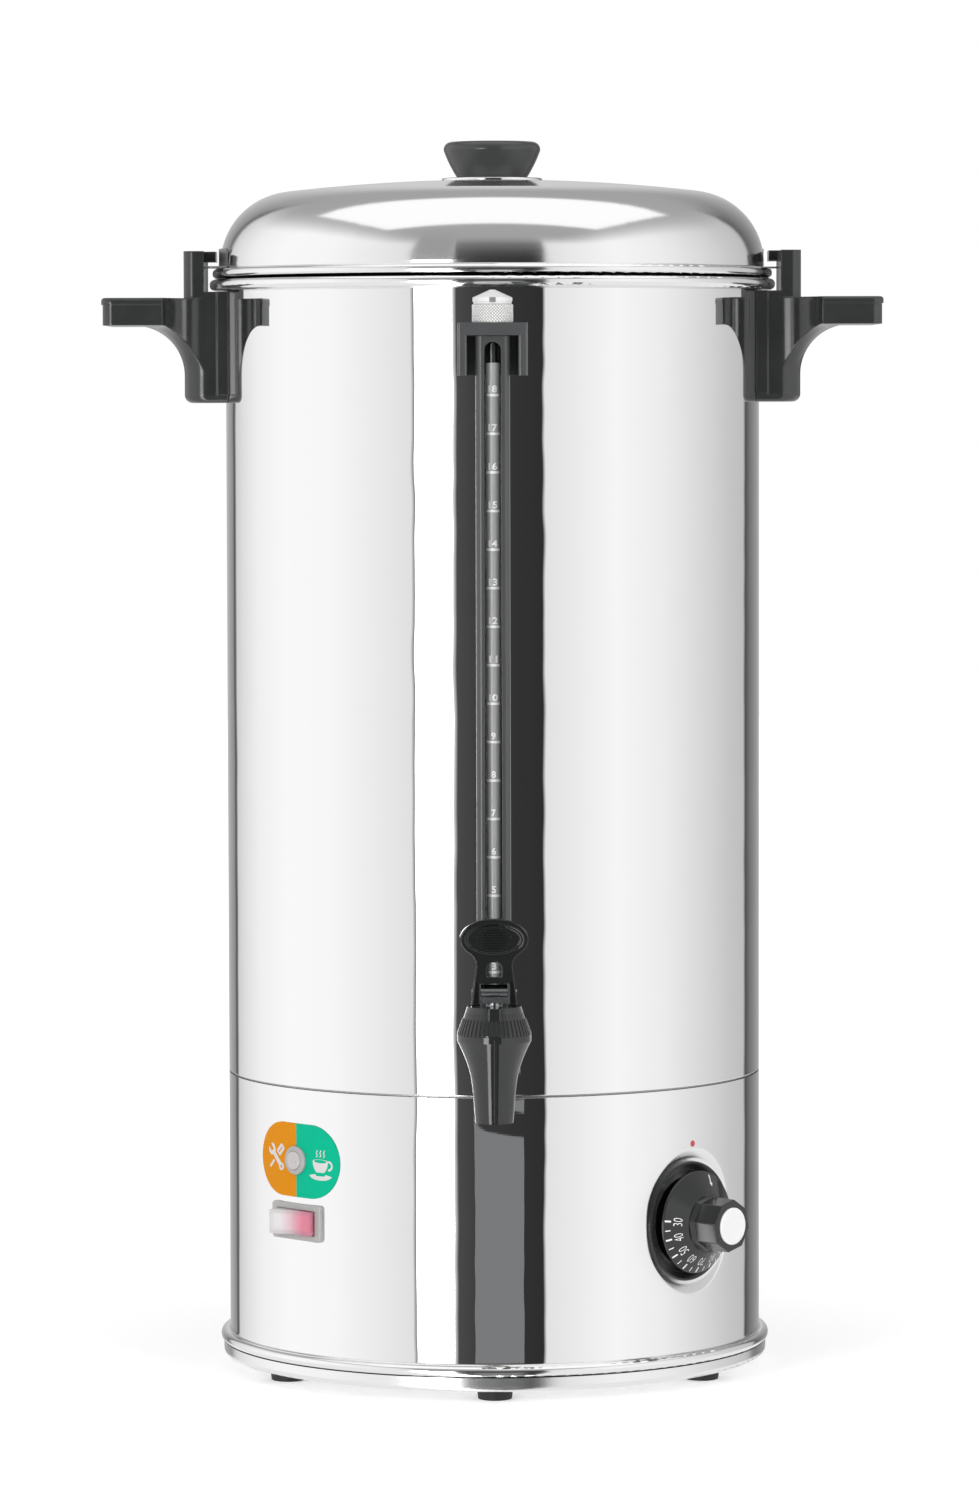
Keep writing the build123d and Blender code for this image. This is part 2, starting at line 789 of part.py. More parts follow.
with BuildPart() as right_handle:
    with BuildSketch(Plane.XY.offset(grip_top - grip_sheet)):
        with Locations((grip_reach, 0)):
            Rectangle(2 * grip_reach, 4 * grip_reach)
    extrude(amount=grip_sheet)
    with BuildSketch(Plane.XY.offset(column_bottom)):
        column_outline(column_corner)
    extrude(amount=grip_top - grip_sheet - column_bottom)
    # The hollow neck: a fillet round the column's nose, under the grip.
    nose = edges().filter_by_position(Axis.Z, grip_top - grip_sheet, grip_top - grip_sheet)
    nose = nose.filter_by_position(Axis.X, foot_edges_from, column_reach)
    nose = nose.filter_by_position(Axis.Y, -column_half_width, column_half_width)
    fillet(nose, neck_radius)
    with BuildSketch(Plane.XY.offset(column_bottom)):
        with BuildLine():
            flare_side(-1)
            flare_side(1)
            Line((grip_reach, -grip_half), (grip_reach, grip_half))
            Line((column_inner, -column_half_width), (column_inner, column_half_width))
        make_face()
        fillet(vertices().group_by(Axis.X)[-1], grip_corner)
    extrude(amount=grip_top - column_bottom, mode=Mode.INTERSECT)
    fillet(
        edges().group_by(Axis.Z)[0].filter_by_position(Axis.X, foot_edges_from, column_reach),
        column_foot_round,
    )
    # A thin lip runs round the grip's top edge.
    with BuildSketch(Plane.XY.offset(grip_top - grip_lip_height)):
        with BuildLine():
            Polyline(
                (flare_end, -grip_half),
                (flare_end, -grip_half - grip_lip),
                (grip_reach + grip_lip, -grip_half - grip_lip),
                (grip_reach + grip_lip, grip_half + grip_lip),
                (flare_end, grip_half + grip_lip),
                (flare_end, grip_half),
                close=True,
            )
        make_face()
        fillet(vertices().group_by(Axis.X)[-1], grip_corner + grip_lip)
    extrude(amount=grip_lip_height)
    fillet(
        edges().group_by(Axis.Z)[-1].filter_by_position(Axis.X, flare_end + 1, grip_reach + 1),
        grip_round,
    )
    # Mounting flange against the tank, and the shelf under the tank's rim.
    with BuildSketch(Plane.XY.offset(column_bottom + column_foot_round)):
        with Locations(((column_inner + flange_reach) / 2, 0)):
            Rectangle(flange_reach - column_inner, 2 * (column_half_width + flange_step))
    extrude(amount=shelf_top - column_bottom - column_foot_round)
    with BuildSketch(Plane.XY.offset(grip_top)):
        column_outline(tower_corner)
    extrude(amount=shelf_top - grip_top)
    # Lock tower with its hook for the lid's tab.
    with BuildSketch(Plane.XY.offset(shelf_top)):
        column_outline(tower_corner)
        Circle(tower_bore, mode=Mode.SUBTRACT)
    extrude(amount=tower_top - shelf_top)
    with BuildSketch(Plane.XY.offset(hook_underside)):
        with Locations(((hook_reach + tower_bore + 2) / 2, 0)):
            Rectangle(tower_bore + 2 - hook_reach, 2 * hook_half_width)
    extrude(amount=tower_top - hook_underside)
    with BuildSketch(Plane.XY.offset(column_bottom)):
        Circle(tank_radius + sheet_gap)
    extrude(amount=tower_top, mode=Mode.SUBTRACT)
    for plane in handle_planes[2:]:
        with BuildSketch(plane):
            Circle(m5_radius + thread_gap)
        extrude(amount=screw_bite + screw_tip_room, mode=Mode.SUBTRACT)
save(right_handle, "right_handle")

with BuildPart() as left_handle:
    mirror(right_handle.part, about=Plane.YZ)
save(left_handle, "left_handle")

washer_radius = m5_radius * head_ratio + washer_rim
washer_seat = washer_radius ** 2 / (2 * tank_bore) + seat_gap
with BuildPart() as handle_washers:
    for plane in handle_planes:
        with BuildSketch(plane.offset(-sheet - washer_seat)):
            Circle(washer_radius)
            Circle(m5_radius + thread_gap, mode=Mode.SUBTRACT)
        extrude(amount=-washer_sheet)
save(handle_washers, "handle_washers")

with BuildPart() as handle_screws:
    for plane in handle_planes:
        inside = plane.offset(-sheet - washer_seat - washer_sheet - seat_gap)
        screw(
            Plane(inside.origin, x_dir=(0, 1, 0), z_dir=-inside.z_dir),
            m5_radius, screw_bite + screw_tip_room,
        )
save(handle_screws, "handle_screws")

# ================================================================ level gauge

glass_foot = gauge_block_top - gauge_socket_depth + seat_gap
glass_top = guard_top + cap_bridge + glass_in_nut
with BuildPart() as sight_glass:
    with BuildSketch(Plane.XY.offset(glass_foot)):
        with Locations((0, -gauge_y)):
            Circle(glass_radius)
            Circle(glass_bore, mode=Mode.SUBTRACT)
    extrude(amount=glass_top - glass_foot)
save(sight_glass, "sight_glass")

guard_foot = gauge_block_top + sheet_gap
with BuildPart() as gauge_guard:
    with BuildSketch(Plane.XY.offset(guard_foot)):
        with Locations((0, -(guard_front + guard_back) / 2)):
            Rectangle(2 * guard_half_width, guard_front - guard_back)
        fillet(vertices().group_by(Axis.Y)[0], guard_corner)
        with Locations((0, -(guard_front - guard_wall + guard_back - 1) / 2)):
            Rectangle(
                2 * (guard_half_width - guard_wall),
                guard_front - guard_wall - guard_back + 1,
                mode=Mode.SUBTRACT,
            )
    extrude(amount=guard_top - guard_foot)
    with BuildSketch(Plane.XZ.offset(gauge_y)):
        with Locations((0, (guard_foot + guard_window_top - guard_window_half) / 2)):
            Rectangle(2 * guard_window_half, guard_window_top - guard_window_half - guard_foot)
        with Locations((0, guard_window_top - guard_window_half)):
            Circle(guard_window_half)
    extrude(amount=guard_front, mode=Mode.SUBTRACT)
save(gauge_guard, "gauge_guard")

cap_foot = guard_top + seat_gap
with BuildPart() as gauge_guard_cap:
    with BuildSketch(Plane.XY.offset(cap_foot - cap_leg_drop)):
        with Locations((0, -(cap_front + tank_radius - cap_web) / 2)):
            Rectangle(2 * cap_half_width, cap_front - tank_radius + cap_web)
    extrude(amount=cap_leg_drop + cap_bridge)
    with BuildSketch(Plane.XY.offset(cap_foot - cap_leg_drop)):
        with Locations((0, -(cap_front + 1 + tank_radius + cap_web) / 2)):
            Rectangle(2 * (cap_half_width - cap_leg), cap_front + 1 - tank_radius - cap_web)
    extrude(amount=cap_leg_drop, mode=Mode.SUBTRACT)
    fillet(edges().filter_by(Axis.Z).group_by(Axis.Y)[0], cap_corner)
    with BuildSketch(Plane.XY.offset(cap_foot - cap_leg_drop)):
        Circle(tank_radius + sheet_gap)
    extrude(amount=cap_leg_drop + cap_bridge, mode=Mode.SUBTRACT)
    with BuildSketch(Plane.XY.offset(cap_foot)):
        with Locations((0, -gauge_y)):
            Circle(glass_radius + sheet_gap)
    extrude(amount=cap_bridge, mode=Mode.SUBTRACT)
    with BuildSketch(cap_screw_plane):
        Circle(m4_radius + thread_gap)
    extrude(amount=2 * cap_web, mode=Mode.SUBTRACT)
save(gauge_guard_cap, "gauge_guard_cap")

cap_screw_seat = (m4_radius * head_ratio) ** 2 / (2 * tank_bore) + seat_gap
with BuildPart() as guard_cap_screw:
    inside = cap_screw_plane.offset(-sheet - cap_screw_seat)
    screw(Plane(inside.origin, x_dir=(1, 0, 0), z_dir=-inside.z_dir), m4_radius, cap_web + sheet)
save(guard_cap_screw, "guard_cap_screw")

nut_foot = cap_foot + cap_bridge + seat_gap
nut_top = nut_foot + gauge_nut_height
with BuildPart() as gauge_nut:
    with BuildSketch(gauge_plane):
        with BuildLine():
            Polyline(
                (glass_radius + 2 * seal_wall, nut_foot),
                (gauge_nut_radius - nut_edge, nut_foot),
                (gauge_nut_radius, nut_foot + nut_edge),
                (gauge_nut_radius, nut_top - nut_edge),
                (gauge_nut_radius - nut_edge, nut_top),
                (glass_radius + sheet_gap, nut_top),
                (glass_radius + sheet_gap, nut_top - nut_ceiling),
                (glass_radius + 2 * seal_wall, nut_top - nut_ceiling),
                close=True,
            )
        make_face()
    revolve(axis=gauge_axis)
    with Locations((0, -gauge_y, nut_foot + gauge_nut_height / 2)):
        with PolarLocations(gauge_nut_radius + flute_stand, gauge_nut_flutes):
            Cylinder(flute_radius, gauge_nut_height, mode=Mode.SUBTRACT)
save(gauge_nut, "gauge_nut")

with BuildPart() as glass_seal_upper:
    with BuildSketch(Plane.XY.offset(nut_foot)):
        with Locations((0, -gauge_y)):
            Circle(glass_radius + 2 * seal_wall - sheet_gap)
            Circle(glass_radius + sheet_gap, mode=Mode.SUBTRACT)
    extrude(amount=gauge_nut_height - nut_ceiling - seat_gap)
save(glass_seal_upper, "glass_seal_upper")

with BuildPart() as glass_seal_lower:
    with BuildSketch(Plane.XY.offset(glass_foot)):
        with Locations((0, -gauge_y)):
            Circle(gauge_socket_radius - sheet_gap)
            Circle(glass_radius + sheet_gap, mode=Mode.SUBTRACT)
    extrude(amount=gauge_socket_depth - 2 * seat_gap)
save(glass_seal_lower, "glass_seal_lower")

vent_foot = nut_top + seat_gap
with BuildPart() as gauge_vent_cap:
    with BuildSketch(gauge_plane):
        with BuildLine():
            Polyline(
                (vent_bore, vent_foot),
                (vent_neck_radius, vent_foot),
                (vent_neck_radius, vent_foot + vent_neck_height),
                (vent_cap_radius, vent_foot + vent_neck_height + vent_step),
                (vent_cap_radius, vent_foot + vent_cap_height),
                (vent_tip, vent_foot + vent_cap_height + vent_cone_height),
                (0, vent_foot + vent_cap_height + vent_cone_height),
                (0, vent_foot + vent_cap_height),
                (vent_bore, vent_foot + vent_neck_height + vent_step),
                close=True,
            )
        make_face()
    revolve(axis=gauge_axis)
    with BuildSketch(gauge_plane):
        with Locations((0, vent_foot + (vent_neck_height + vent_step + vent_cap_height) / 2)):
            Circle(vent_hole)
    extrude(amount=vent_cap_radius, mode=Mode.SUBTRACT)
save(gauge_vent_cap, "gauge_vent_cap")

# ================================================================ tap

shank_seat = tank_radius + shank_seal_sheet
shank_end = tank_bore - shank_length
chamber_top = tap_rim_top - chamber_step
with BuildPart() as tap_body:
    with BuildSketch(tap_plane):
        with BuildLine():
            Line((spout_bore, spout_bottom), (spout_radius, spout_bottom))
            Spline(
                (spout_radius, spout_bottom),
                (spout_waist, spout_waist_height),
                (shoulder_mid_radius, shoulder_mid_height),
                (shoulder_low_radius, shoulder_low_height),
                (tap_rim_radius, tap_rim_height),
            )
            Polyline(
                (tap_rim_radius, tap_rim_height),
                (tap_rim_radius, tap_rim_top),
                (neck_outer, tap_rim_top),
                (neck_outer, neck_top),
                (neck_inner, neck_top),
                (neck_inner, chamber_top),
                (chamber_radius, chamber_top),
                (chamber_radius, seat_height),
                (seat_bore, seat_height),
                (seat_bore, seat_height - seat_throat),
                (spout_bore, seat_height - seat_throat - spout_bore + seat_bore),
                (spout_bore, spout_bottom),
            )
        make_face()
    revolve(axis=tap_axis)
    # Shank through the tank wall, with its flange and the block that carries the gauge.
    with BuildSketch(Plane.XZ.offset(shank_end)):
        with Locations((0, shank_height)):
            Circle(shank_radius)
    extrude(amount=tap_y - chamber_radius - shank_end - side_gap)
    with BuildSketch(Plane.XZ.offset(shank_seat)):
        with Locations((0, shank_height)):
            Circle(shank_flange)
    extrude(amount=shank_flange_sheet)
    fillet(edges_at(shank_plane, shank_seal_sheet + shank_flange_sheet)[-1], flange_round)
    with BuildSketch(Plane.XY.offset(shank_height)):
        with Locations((0, -gauge_y)):
            RectangleRounded(2 * gauge_block_half, 2 * gauge_block_half, gauge_block_corner)
    extrude(amount=gauge_block_top - shank_height)
    with BuildSketch(Plane.XY.offset(gauge_block_top - gauge_socket_depth)):
        with Locations((0, -gauge_y)):
            Circle(gauge_socket_radius)
    extrude(amount=gauge_socket_depth, mode=Mode.SUBTRACT)
    with BuildSketch(Plane.XY.offset(shank_height)):
        with Locations((0, -gauge_y)):
            Circle(glass_bore)
    extrude(amount=gauge_block_top - shank_height, mode=Mode.SUBTRACT)
    with BuildSketch(Plane.XZ.offset(shank_end)):
        with Locations((0, shank_height)):
            Circle(shank_bore)
    extrude(amount=tap_y - shank_end, mode=Mode.SUBTRACT)
save(tap_body, "tap_body")

with BuildPart() as shank_seal:
    with BuildSketch(Plane.XZ.offset(shank_seat - seat_gap)):
        with Locations((0, shank_height)):
            Circle(shank_flange - flange_round)
            Circle(shank_radius + sheet_gap, mode=Mode.SUBTRACT)
    extrude(amount=-2 * shank_seal_sheet)
    with BuildSketch(Plane.XY.offset(shank_height - shank_flange)):
        Circle(tank_radius + seat_gap)
    extrude(amount=2 * shank_flange, mode=Mode.SUBTRACT)
save(shank_seal, "shank_seal")

shank_nut_seat = nut_standoff(shank_nut_across)
with BuildPart() as shank_nut:
    with BuildSketch(Plane.XZ.offset(tank_bore - shank_nut_seat)):
        with Locations((0, shank_height)):
            RegularPolygon(shank_nut_across, 6, major_radius=False)
            Circle(shank_radius + thread_gap, mode=Mode.SUBTRACT)
    extrude(amount=-shank_nut_sheet)
save(shank_nut, "shank_nut")

bonnet_foot = tap_rim_top + sheet_gap
spring_ceiling = bonnet_top - bonnet_crown
with BuildPart() as tap_bonnet:
    with BuildSketch(tap_plane):
        with BuildLine():
            Polyline(
                (neck_outer + thread_gap, bonnet_foot),
                (tap_rim_radius, bonnet_foot),
                (tap_rim_radius, bonnet_foot + bonnet_band),
                (bonnet_knurl_radius, bonnet_knurl_top),
                (bonnet_knurl_radius - bonnet_step, bonnet_knurl_top),
                (bonnet_top_radius, bonnet_top),
                (stem_radius + run_gap, bonnet_top),
                (stem_radius + run_gap, spring_ceiling),
                (spring_well, spring_ceiling),
                (spring_well, neck_top + seat_gap),
                (neck_outer + thread_gap, neck_top + seat_gap),
                close=True,
            )
        make_face()
    revolve(axis=tap_axis)
    # Knurl: one slanted round groove, repeated round the bonnet.
    groove_foot = bonnet_foot + bonnet_band
    lean = degrees(atan2(tap_rim_radius - bonnet_knurl_radius, bonnet_knurl_top - groove_foot))
    with Locations((0, -tap_y, groove_foot)):
        with PolarLocations(tap_rim_radius, bonnet_ribs):
            Cylinder(
                bonnet_rib_radius, 3 * (bonnet_knurl_top - groove_foot),
                rotation=(0, -lean, 0), mode=Mode.SUBTRACT,
            )
    # Stop lug at the front of the bonnet's cone.
    with BuildSketch(Plane.XY.offset(bonnet_top - lug_height)):
        with Locations((0, -tap_y - bonnet_knurl_radius + lug_depth / 2)):
            RectangleRounded(lug_width, lug_depth, lug_corner)
    extrude(amount=lug_height)
save(tap_bonnet, "tap_bonnet")

stem_head_half = lever_foot_half - lever_arm - side_gap
stem_foot = seat_height + seat_gap + cup_lip
collar_foot = seat_height + cup_height
with BuildPart() as valve_stem:
    with BuildSketch(Plane.XY.offset(stem_foot)):
        with Locations((0, -tap_y)):
            Circle(stem_radius)
    extrude(amount=pin_height - stem_foot)
    with BuildSketch(Plane.XY.offset(collar_foot)):
        with Locations((0, -tap_y)):
            Circle(cup_radius)
    extrude(amount=stem_collar)
    with BuildSketch(Plane.YZ.offset(-stem_head_half)):
        with Locations((-tap_y, pin_height)):
            Circle(stem_head_round)
        with Locations((-tap_y, (pin_height + stem_head_foot) / 2)):
            Rectangle(2 * stem_radius, pin_height - stem_head_foot)
    extrude(amount=2 * stem_head_half)
    with BuildSketch(Plane.YZ.offset(-stem_head_half)):
        with Locations((-tap_y, pin_height)):
            Circle(pin_radius + run_gap)
    extrude(amount=2 * stem_head_half, mode=Mode.SUBTRACT)
save(valve_stem, "valve_stem")

with BuildPart() as seat_cup:
    with BuildSketch(tap_plane):
        with BuildLine():
            Polyline(
                (0, seat_height + rest_gap),
                (cup_radius - cup_edge, seat_height + rest_gap),
                (cup_radius, seat_height + rest_gap + cup_edge),
                (cup_radius, collar_foot - seat_gap),
                (stem_radius + seat_gap, collar_foot - seat_gap),
                (stem_radius + seat_gap, stem_foot - seat_gap),
                (0, stem_foot - seat_gap),
                close=True,
            )
        make_face()
    revolve(axis=tap_axis)
save(seat_cup, "seat_cup")

spring_foot = collar_foot + stem_collar + seat_gap + spring_wire
spring_head = spring_ceiling - seat_gap - spring_wire
with BuildPart() as stem_spring:
    with BuildLine():
        coil = Helix(
            (spring_head - spring_foot) / spring_turns,
            spring_head - spring_foot,
            spring_radius,
            center=(0, -tap_y, spring_foot),
        )
    with BuildSketch(Plane(coil @ 0, z_dir=coil % 0)):
        Circle(spring_wire)
    sweep(path=coil, is_frenet=True)
save(stem_spring, "stem_spring")

with BuildPart() as lever_pin:
    with BuildSketch(Plane.YZ.offset(-lever_foot_half + side_gap)):
        with Locations((-tap_y, pin_height)):
            Circle(pin_radius)
    extrude(amount=2 * (lever_foot_half - side_gap))
save(lever_pin, "lever_pin")

heel_height = bonnet_top + heel_gap
lever_front = -tap_y - lever_heel
paddle_centre = paddle_top - paddle_half_height
dish_tilt = degrees(atan2(lever_lean, paddle_top - lever_bend_height))
with BuildPart() as tap_lever:
    with BuildSketch(Plane.YZ.offset(-paddle_half_width)):
        with BuildLine():
            FilletPolyline(
                (lever_front, heel_height),
                (lever_front, lever_bend_height),
                (lever_front - lever_lean, paddle_top),
                (lever_front - lever_lean + lever_sheet, paddle_top),
                (lever_front + lever_sheet, lever_bend_height),
                (lever_back - tap_y, lever_bend_height - lever_back),
                (lever_back - tap_y, heel_height + lever_heel_step),
                (lever_back - tap_y - lever_heel_step, heel_height),
                radius=lever_edge,
                close=True,
            )
        make_face()
    extrude(amount=2 * paddle_half_width)
    with BuildSketch(tap_plane) as outline:
        with Locations((0, paddle_centre)):
            Ellipse(paddle_half_width, paddle_half_height)
        Polygon(
            (-lever_foot_half, heel_height),
            (lever_foot_half, heel_height),
            (lever_neck_half, lever_neck_height),
            (lever_neck_half, paddle_centre),
            (-lever_neck_half, paddle_centre),
            (-lever_neck_half, lever_neck_height),
            align=None,
        )
        neck_corners = vertices().filter_by_position(
            Axis.Y, lever_neck_height + edge_slack, paddle_centre - edge_slack
        )
        fillet(neck_corners, lever_blend)
        with Locations((0, (heel_height + fork_top) / 2)):
            Rectangle(2 * (lever_foot_half - lever_arm), fork_top - heel_height, mode=Mode.SUBTRACT)
        with Locations((0, (lever_window_bottom + lever_window_top - lever_window_half) / 2)):
            Rectangle(
                2 * lever_window_half,
                lever_window_top - lever_window_half - lever_window_bottom,
                mode=Mode.SUBTRACT,
            )
        with Locations((0, lever_window_top - lever_window_half)):
            Circle(lever_window_half, mode=Mode.SUBTRACT)
    extrude(amount=tap_y, both=True, mode=Mode.INTERSECT)
    # Dished thumb rest in the paddle's leaning front face.
    dish_plane = Plane(
        origin=(0, lever_front - lever_lean / 2, (paddle_top + lever_bend_height) / 2),
        x_dir=(1, 0, 0),
        z_dir=(0, -cos(radians(dish_tilt)), -sin(radians(dish_tilt))),
    )
    for level in (paddle_dish_depth, -paddle_dish_depth):
        with BuildSketch(dish_plane.offset(level)):
            with Locations((0, paddle_centre - (paddle_top + lever_bend_height) / 2)):
                Ellipse(
                    paddle_half_width - paddle_dish_border + level * paddle_dish_slope,
                    paddle_half_height - paddle_dish_border + level * paddle_dish_slope,
                )
    loft(mode=Mode.SUBTRACT)
    with BuildSketch(Plane.YZ.offset(-lever_foot_half)):
        with Locations((-tap_y, pin_height)):
            Circle(pin_radius + seat_gap)
    extrude(amount=2 * lever_foot_half, mode=Mode.SUBTRACT)
save(tap_lever, "tap_lever")

# ================================================================ right-hand control

bezel_back = bezel_floor - bezel_floor_sheet
with BuildPart() as thermostat_bezel:
    with BuildSketch(dial_section):
        with BuildLine():
            Polyline(
                (thermostat_neck + sheet_gap, bezel_back),
                (bezel_spigot, bezel_back),
                (bezel_spigot, seat_gap),
                (bezel_radius, seat_gap),
                (bezel_radius, bezel_stand - bezel_edge),
            )
            RadiusArc(
                (bezel_radius, bezel_stand - bezel_edge), (bezel_radius - bezel_edge, bezel_stand),
                -bezel_edge,
            )
            Polyline(
                (bezel_radius - bezel_edge, bezel_stand),
                (bezel_throat, -bezel_dish),
                (bezel_throat, bezel_floor),
                (thermostat_neck + sheet_gap, bezel_floor),
                (thermostat_neck + sheet_gap, bezel_back),
            )
        make_face()
    revolve(axis=dial_axis)
    with BuildSketch(dial_plane.offset(bezel_back)):
        with Locations((0, bezel_screw_radius), (0, -bezel_screw_radius)):
            Circle(m4_radius + thread_gap)
    extrude(amount=bezel_floor_sheet, mode=Mode.SUBTRACT)
save(thermostat_bezel, "thermostat_bezel")

with BuildPart() as thermostat_body:
    with BuildSketch(dial_plane.offset(bezel_back - seat_gap)):
        RectangleRounded(thermostat_width, thermostat_height, thermostat_corner)
    extrude(amount=-thermostat_depth)
    with BuildSketch(dial_plane.offset(bezel_back - seat_gap)):
        Circle(thermostat_neck)
    extrude(amount=bezel_floor_sheet + thermostat_nose)
    with BuildSketch(dial_plane.offset(bezel_floor + thermostat_nose)):
        Circle(dial_shaft_radius + run_gap)
    extrude(amount=-dial_shaft_depth, mode=Mode.SUBTRACT)
    with BuildSketch(dial_plane.offset(bezel_back - seat_gap)):
        with Locations((0, bezel_screw_radius), (0, -bezel_screw_radius)):
            Circle(m4_radius + thread_gap)
    extrude(amount=-screw_bite, mode=Mode.SUBTRACT)
save(thermostat_body, "thermostat_body")

with BuildPart() as thermostat_screws:
    for side in (-bezel_screw_radius, bezel_screw_radius):
        seat = dial_plane.offset(bezel_floor + seat_gap)
        screw(
            Plane(seat.origin + seat.y_dir * side, x_dir=seat.x_dir, z_dir=seat.z_dir),
            m4_radius, screw_bite,
        )
save(thermostat_screws, "thermostat_screws")

with BuildPart() as thermostat_shaft:
    with BuildSketch(dial_plane.offset(dial_shaft_end)):
        Circle(dial_shaft_radius)
    extrude(amount=-dial_shaft_end + bezel_floor + thermostat_nose - dial_shaft_depth + rest_gap)
    with BuildSketch(dial_plane.offset(dial_shaft_end)):
        with Locations((0, dial_shaft_radius)):
            Rectangle(2 * dial_shaft_radius, dial_shaft_flat)
    extrude(amount=-dial_shaft_end + dial_back, mode=Mode.SUBTRACT)
save(thermostat_shaft, "thermostat_shaft")

with BuildPart() as thermostat_dial:
    # Scale ring: a cone that rises from a thin rim to the grip.
    with BuildSketch(dial_section):
        Polygon(
            (0, dial_back),
            (dial_radius, dial_back),
            (dial_radius, dial_back + dial_rim),
            (dial_crown_radius, dial_crown),
            (0, dial_crown),
            align=None,
        )
    revolve(axis=dial_axis)
    fillet(edges_at(dial_plane, dial_back + dial_rim), dial_edge)
    with BuildSketch(dial_plane.offset(dial_crown)):
        RegularPolygon(grip_corner_radius, grip_sides, rotation=grip_turn)
        fillet(vertices(), grip_vertex_round)
    extrude(amount=grip_end - dial_crown, taper=grip_draft)
    fillet(edges_at(dial_plane, grip_end), grip_edge)
    with BuildSketch(dial_plane.offset(dial_crown)):
        RegularPolygon(grip_corner_radius + grip_flare, grip_sides, rotation=grip_turn)
        fillet(vertices(), grip_vertex_round)
    with BuildSketch(dial_plane.offset(dial_crown + grip_flare_height)):
        RegularPolygon(grip_corner_radius - sheet_gap, grip_sides, rotation=grip_turn)
        fillet(vertices(), grip_vertex_round)
    loft()
    with BuildSketch(dial_plane.offset(grip_end)):
        Circle(cap_radius + sheet_gap)
    extrude(amount=-cap_sink, mode=Mode.SUBTRACT)
    with BuildSketch(dial_plane.offset(dial_back)):
        Circle(dial_shaft_radius + seat_gap)
        with Locations((0, dial_shaft_radius)):
            Rectangle(2 * dial_shaft_radius, dial_shaft_flat - 2 * seat_gap, mode=Mode.SUBTRACT)
    extrude(amount=dial_shaft_end + side_gap - dial_back, mode=Mode.SUBTRACT)
save(thermostat_dial, "thermostat_dial")

with BuildPart() as dial_cap:
    with BuildSketch(dial_plane.offset(grip_end - cap_sink + seat_gap)):
        Circle(cap_radius)
    extrude(amount=cap_sink + cap_stand)
    fillet(edges_at(dial_plane, grip_end + seat_gap + cap_stand), cap_stand / 2)
save(dial_cap, "dial_cap")

# ================================================================ left-hand controls

with BuildPart() as indicator_plate:
    with BuildSketch(Plane.XY.offset(plate_height - plate_width)):
        Circle(tank_radius + seat_gap + plate_sheet)
        Circle(tank_radius + seat_gap, mode=Mode.SUBTRACT)
    extrude(amount=2 * plate_width)
    with BuildSketch(lamp_plane):
        SlotOverall(plate_length, plate_width)
        Circle(lamp_barrel + thread_gap, mode=Mode.SUBTRACT)
    extrude(amount=plate_width / 2, both=True, mode=Mode.INTERSECT)
save(indicator_plate, "indicator_plate")

lamp_seat = seat_gap + plate_sheet + seat_gap
with BuildPart() as indicator_bezel:
    with BuildSketch(lamp_plane.offset(lamp_seat + lamp_flange_sheet)):
        Circle(lamp_flange)
    extrude(amount=-2 * lamp_flange_sheet)
    fillet(edges_at(lamp_plane, lamp_seat + lamp_flange_sheet), lamp_edge)
    with BuildSketch(Plane.XY.offset(plate_height - lamp_flange)):
        Circle(tank_radius + lamp_seat)
    extrude(amount=2 * lamp_flange, mode=Mode.SUBTRACT)
    with BuildSketch(lamp_plane.offset(lamp_seat + lamp_flange_sheet / 2)):
        Circle(lamp_barrel)
    extrude(amount=-lamp_barrel_length)
    with BuildSketch(lamp_plane.offset(lamp_seat + lamp_flange_sheet)):
        Circle(lens_radius + sheet_gap)
    extrude(amount=-lamp_flange_sheet, mode=Mode.SUBTRACT)
    with BuildSketch(lamp_plane.offset(lamp_seat + lamp_flange_sheet)):
        Circle(lens_radius - lens_ledge)
    extrude(amount=-lamp_flange_sheet - lamp_barrel_length, mode=Mode.SUBTRACT)
save(indicator_bezel, "indicator_bezel")

with BuildPart() as indicator_lens:
    with BuildSketch(lamp_plane.offset(lamp_seat + seat_gap)):
        Circle(lens_radius)
    extrude(amount=lens_stand)
    fillet(edges_at(lamp_plane, lamp_seat + seat_gap + lens_stand), lens_edge)
save(indicator_lens, "indicator_lens")

with BuildPart() as indicator_body:
    with BuildSketch(lamp_plane.offset(-sheet - seat_gap)):
        Circle(lamp_body)
    extrude(amount=-lamp_depth)
    with BuildSketch(Plane.XY.offset(plate_height - 2 * lamp_body)):
        Circle(tank_bore - seat_gap)
    extrude(amount=4 * lamp_body, mode=Mode.INTERSECT)
    with BuildSketch(lamp_plane):
        Circle(lamp_barrel + seat_gap)
    extrude(amount=-lamp_barrel_length, mode=Mode.SUBTRACT)
save(indicator_body, "indicator_body")

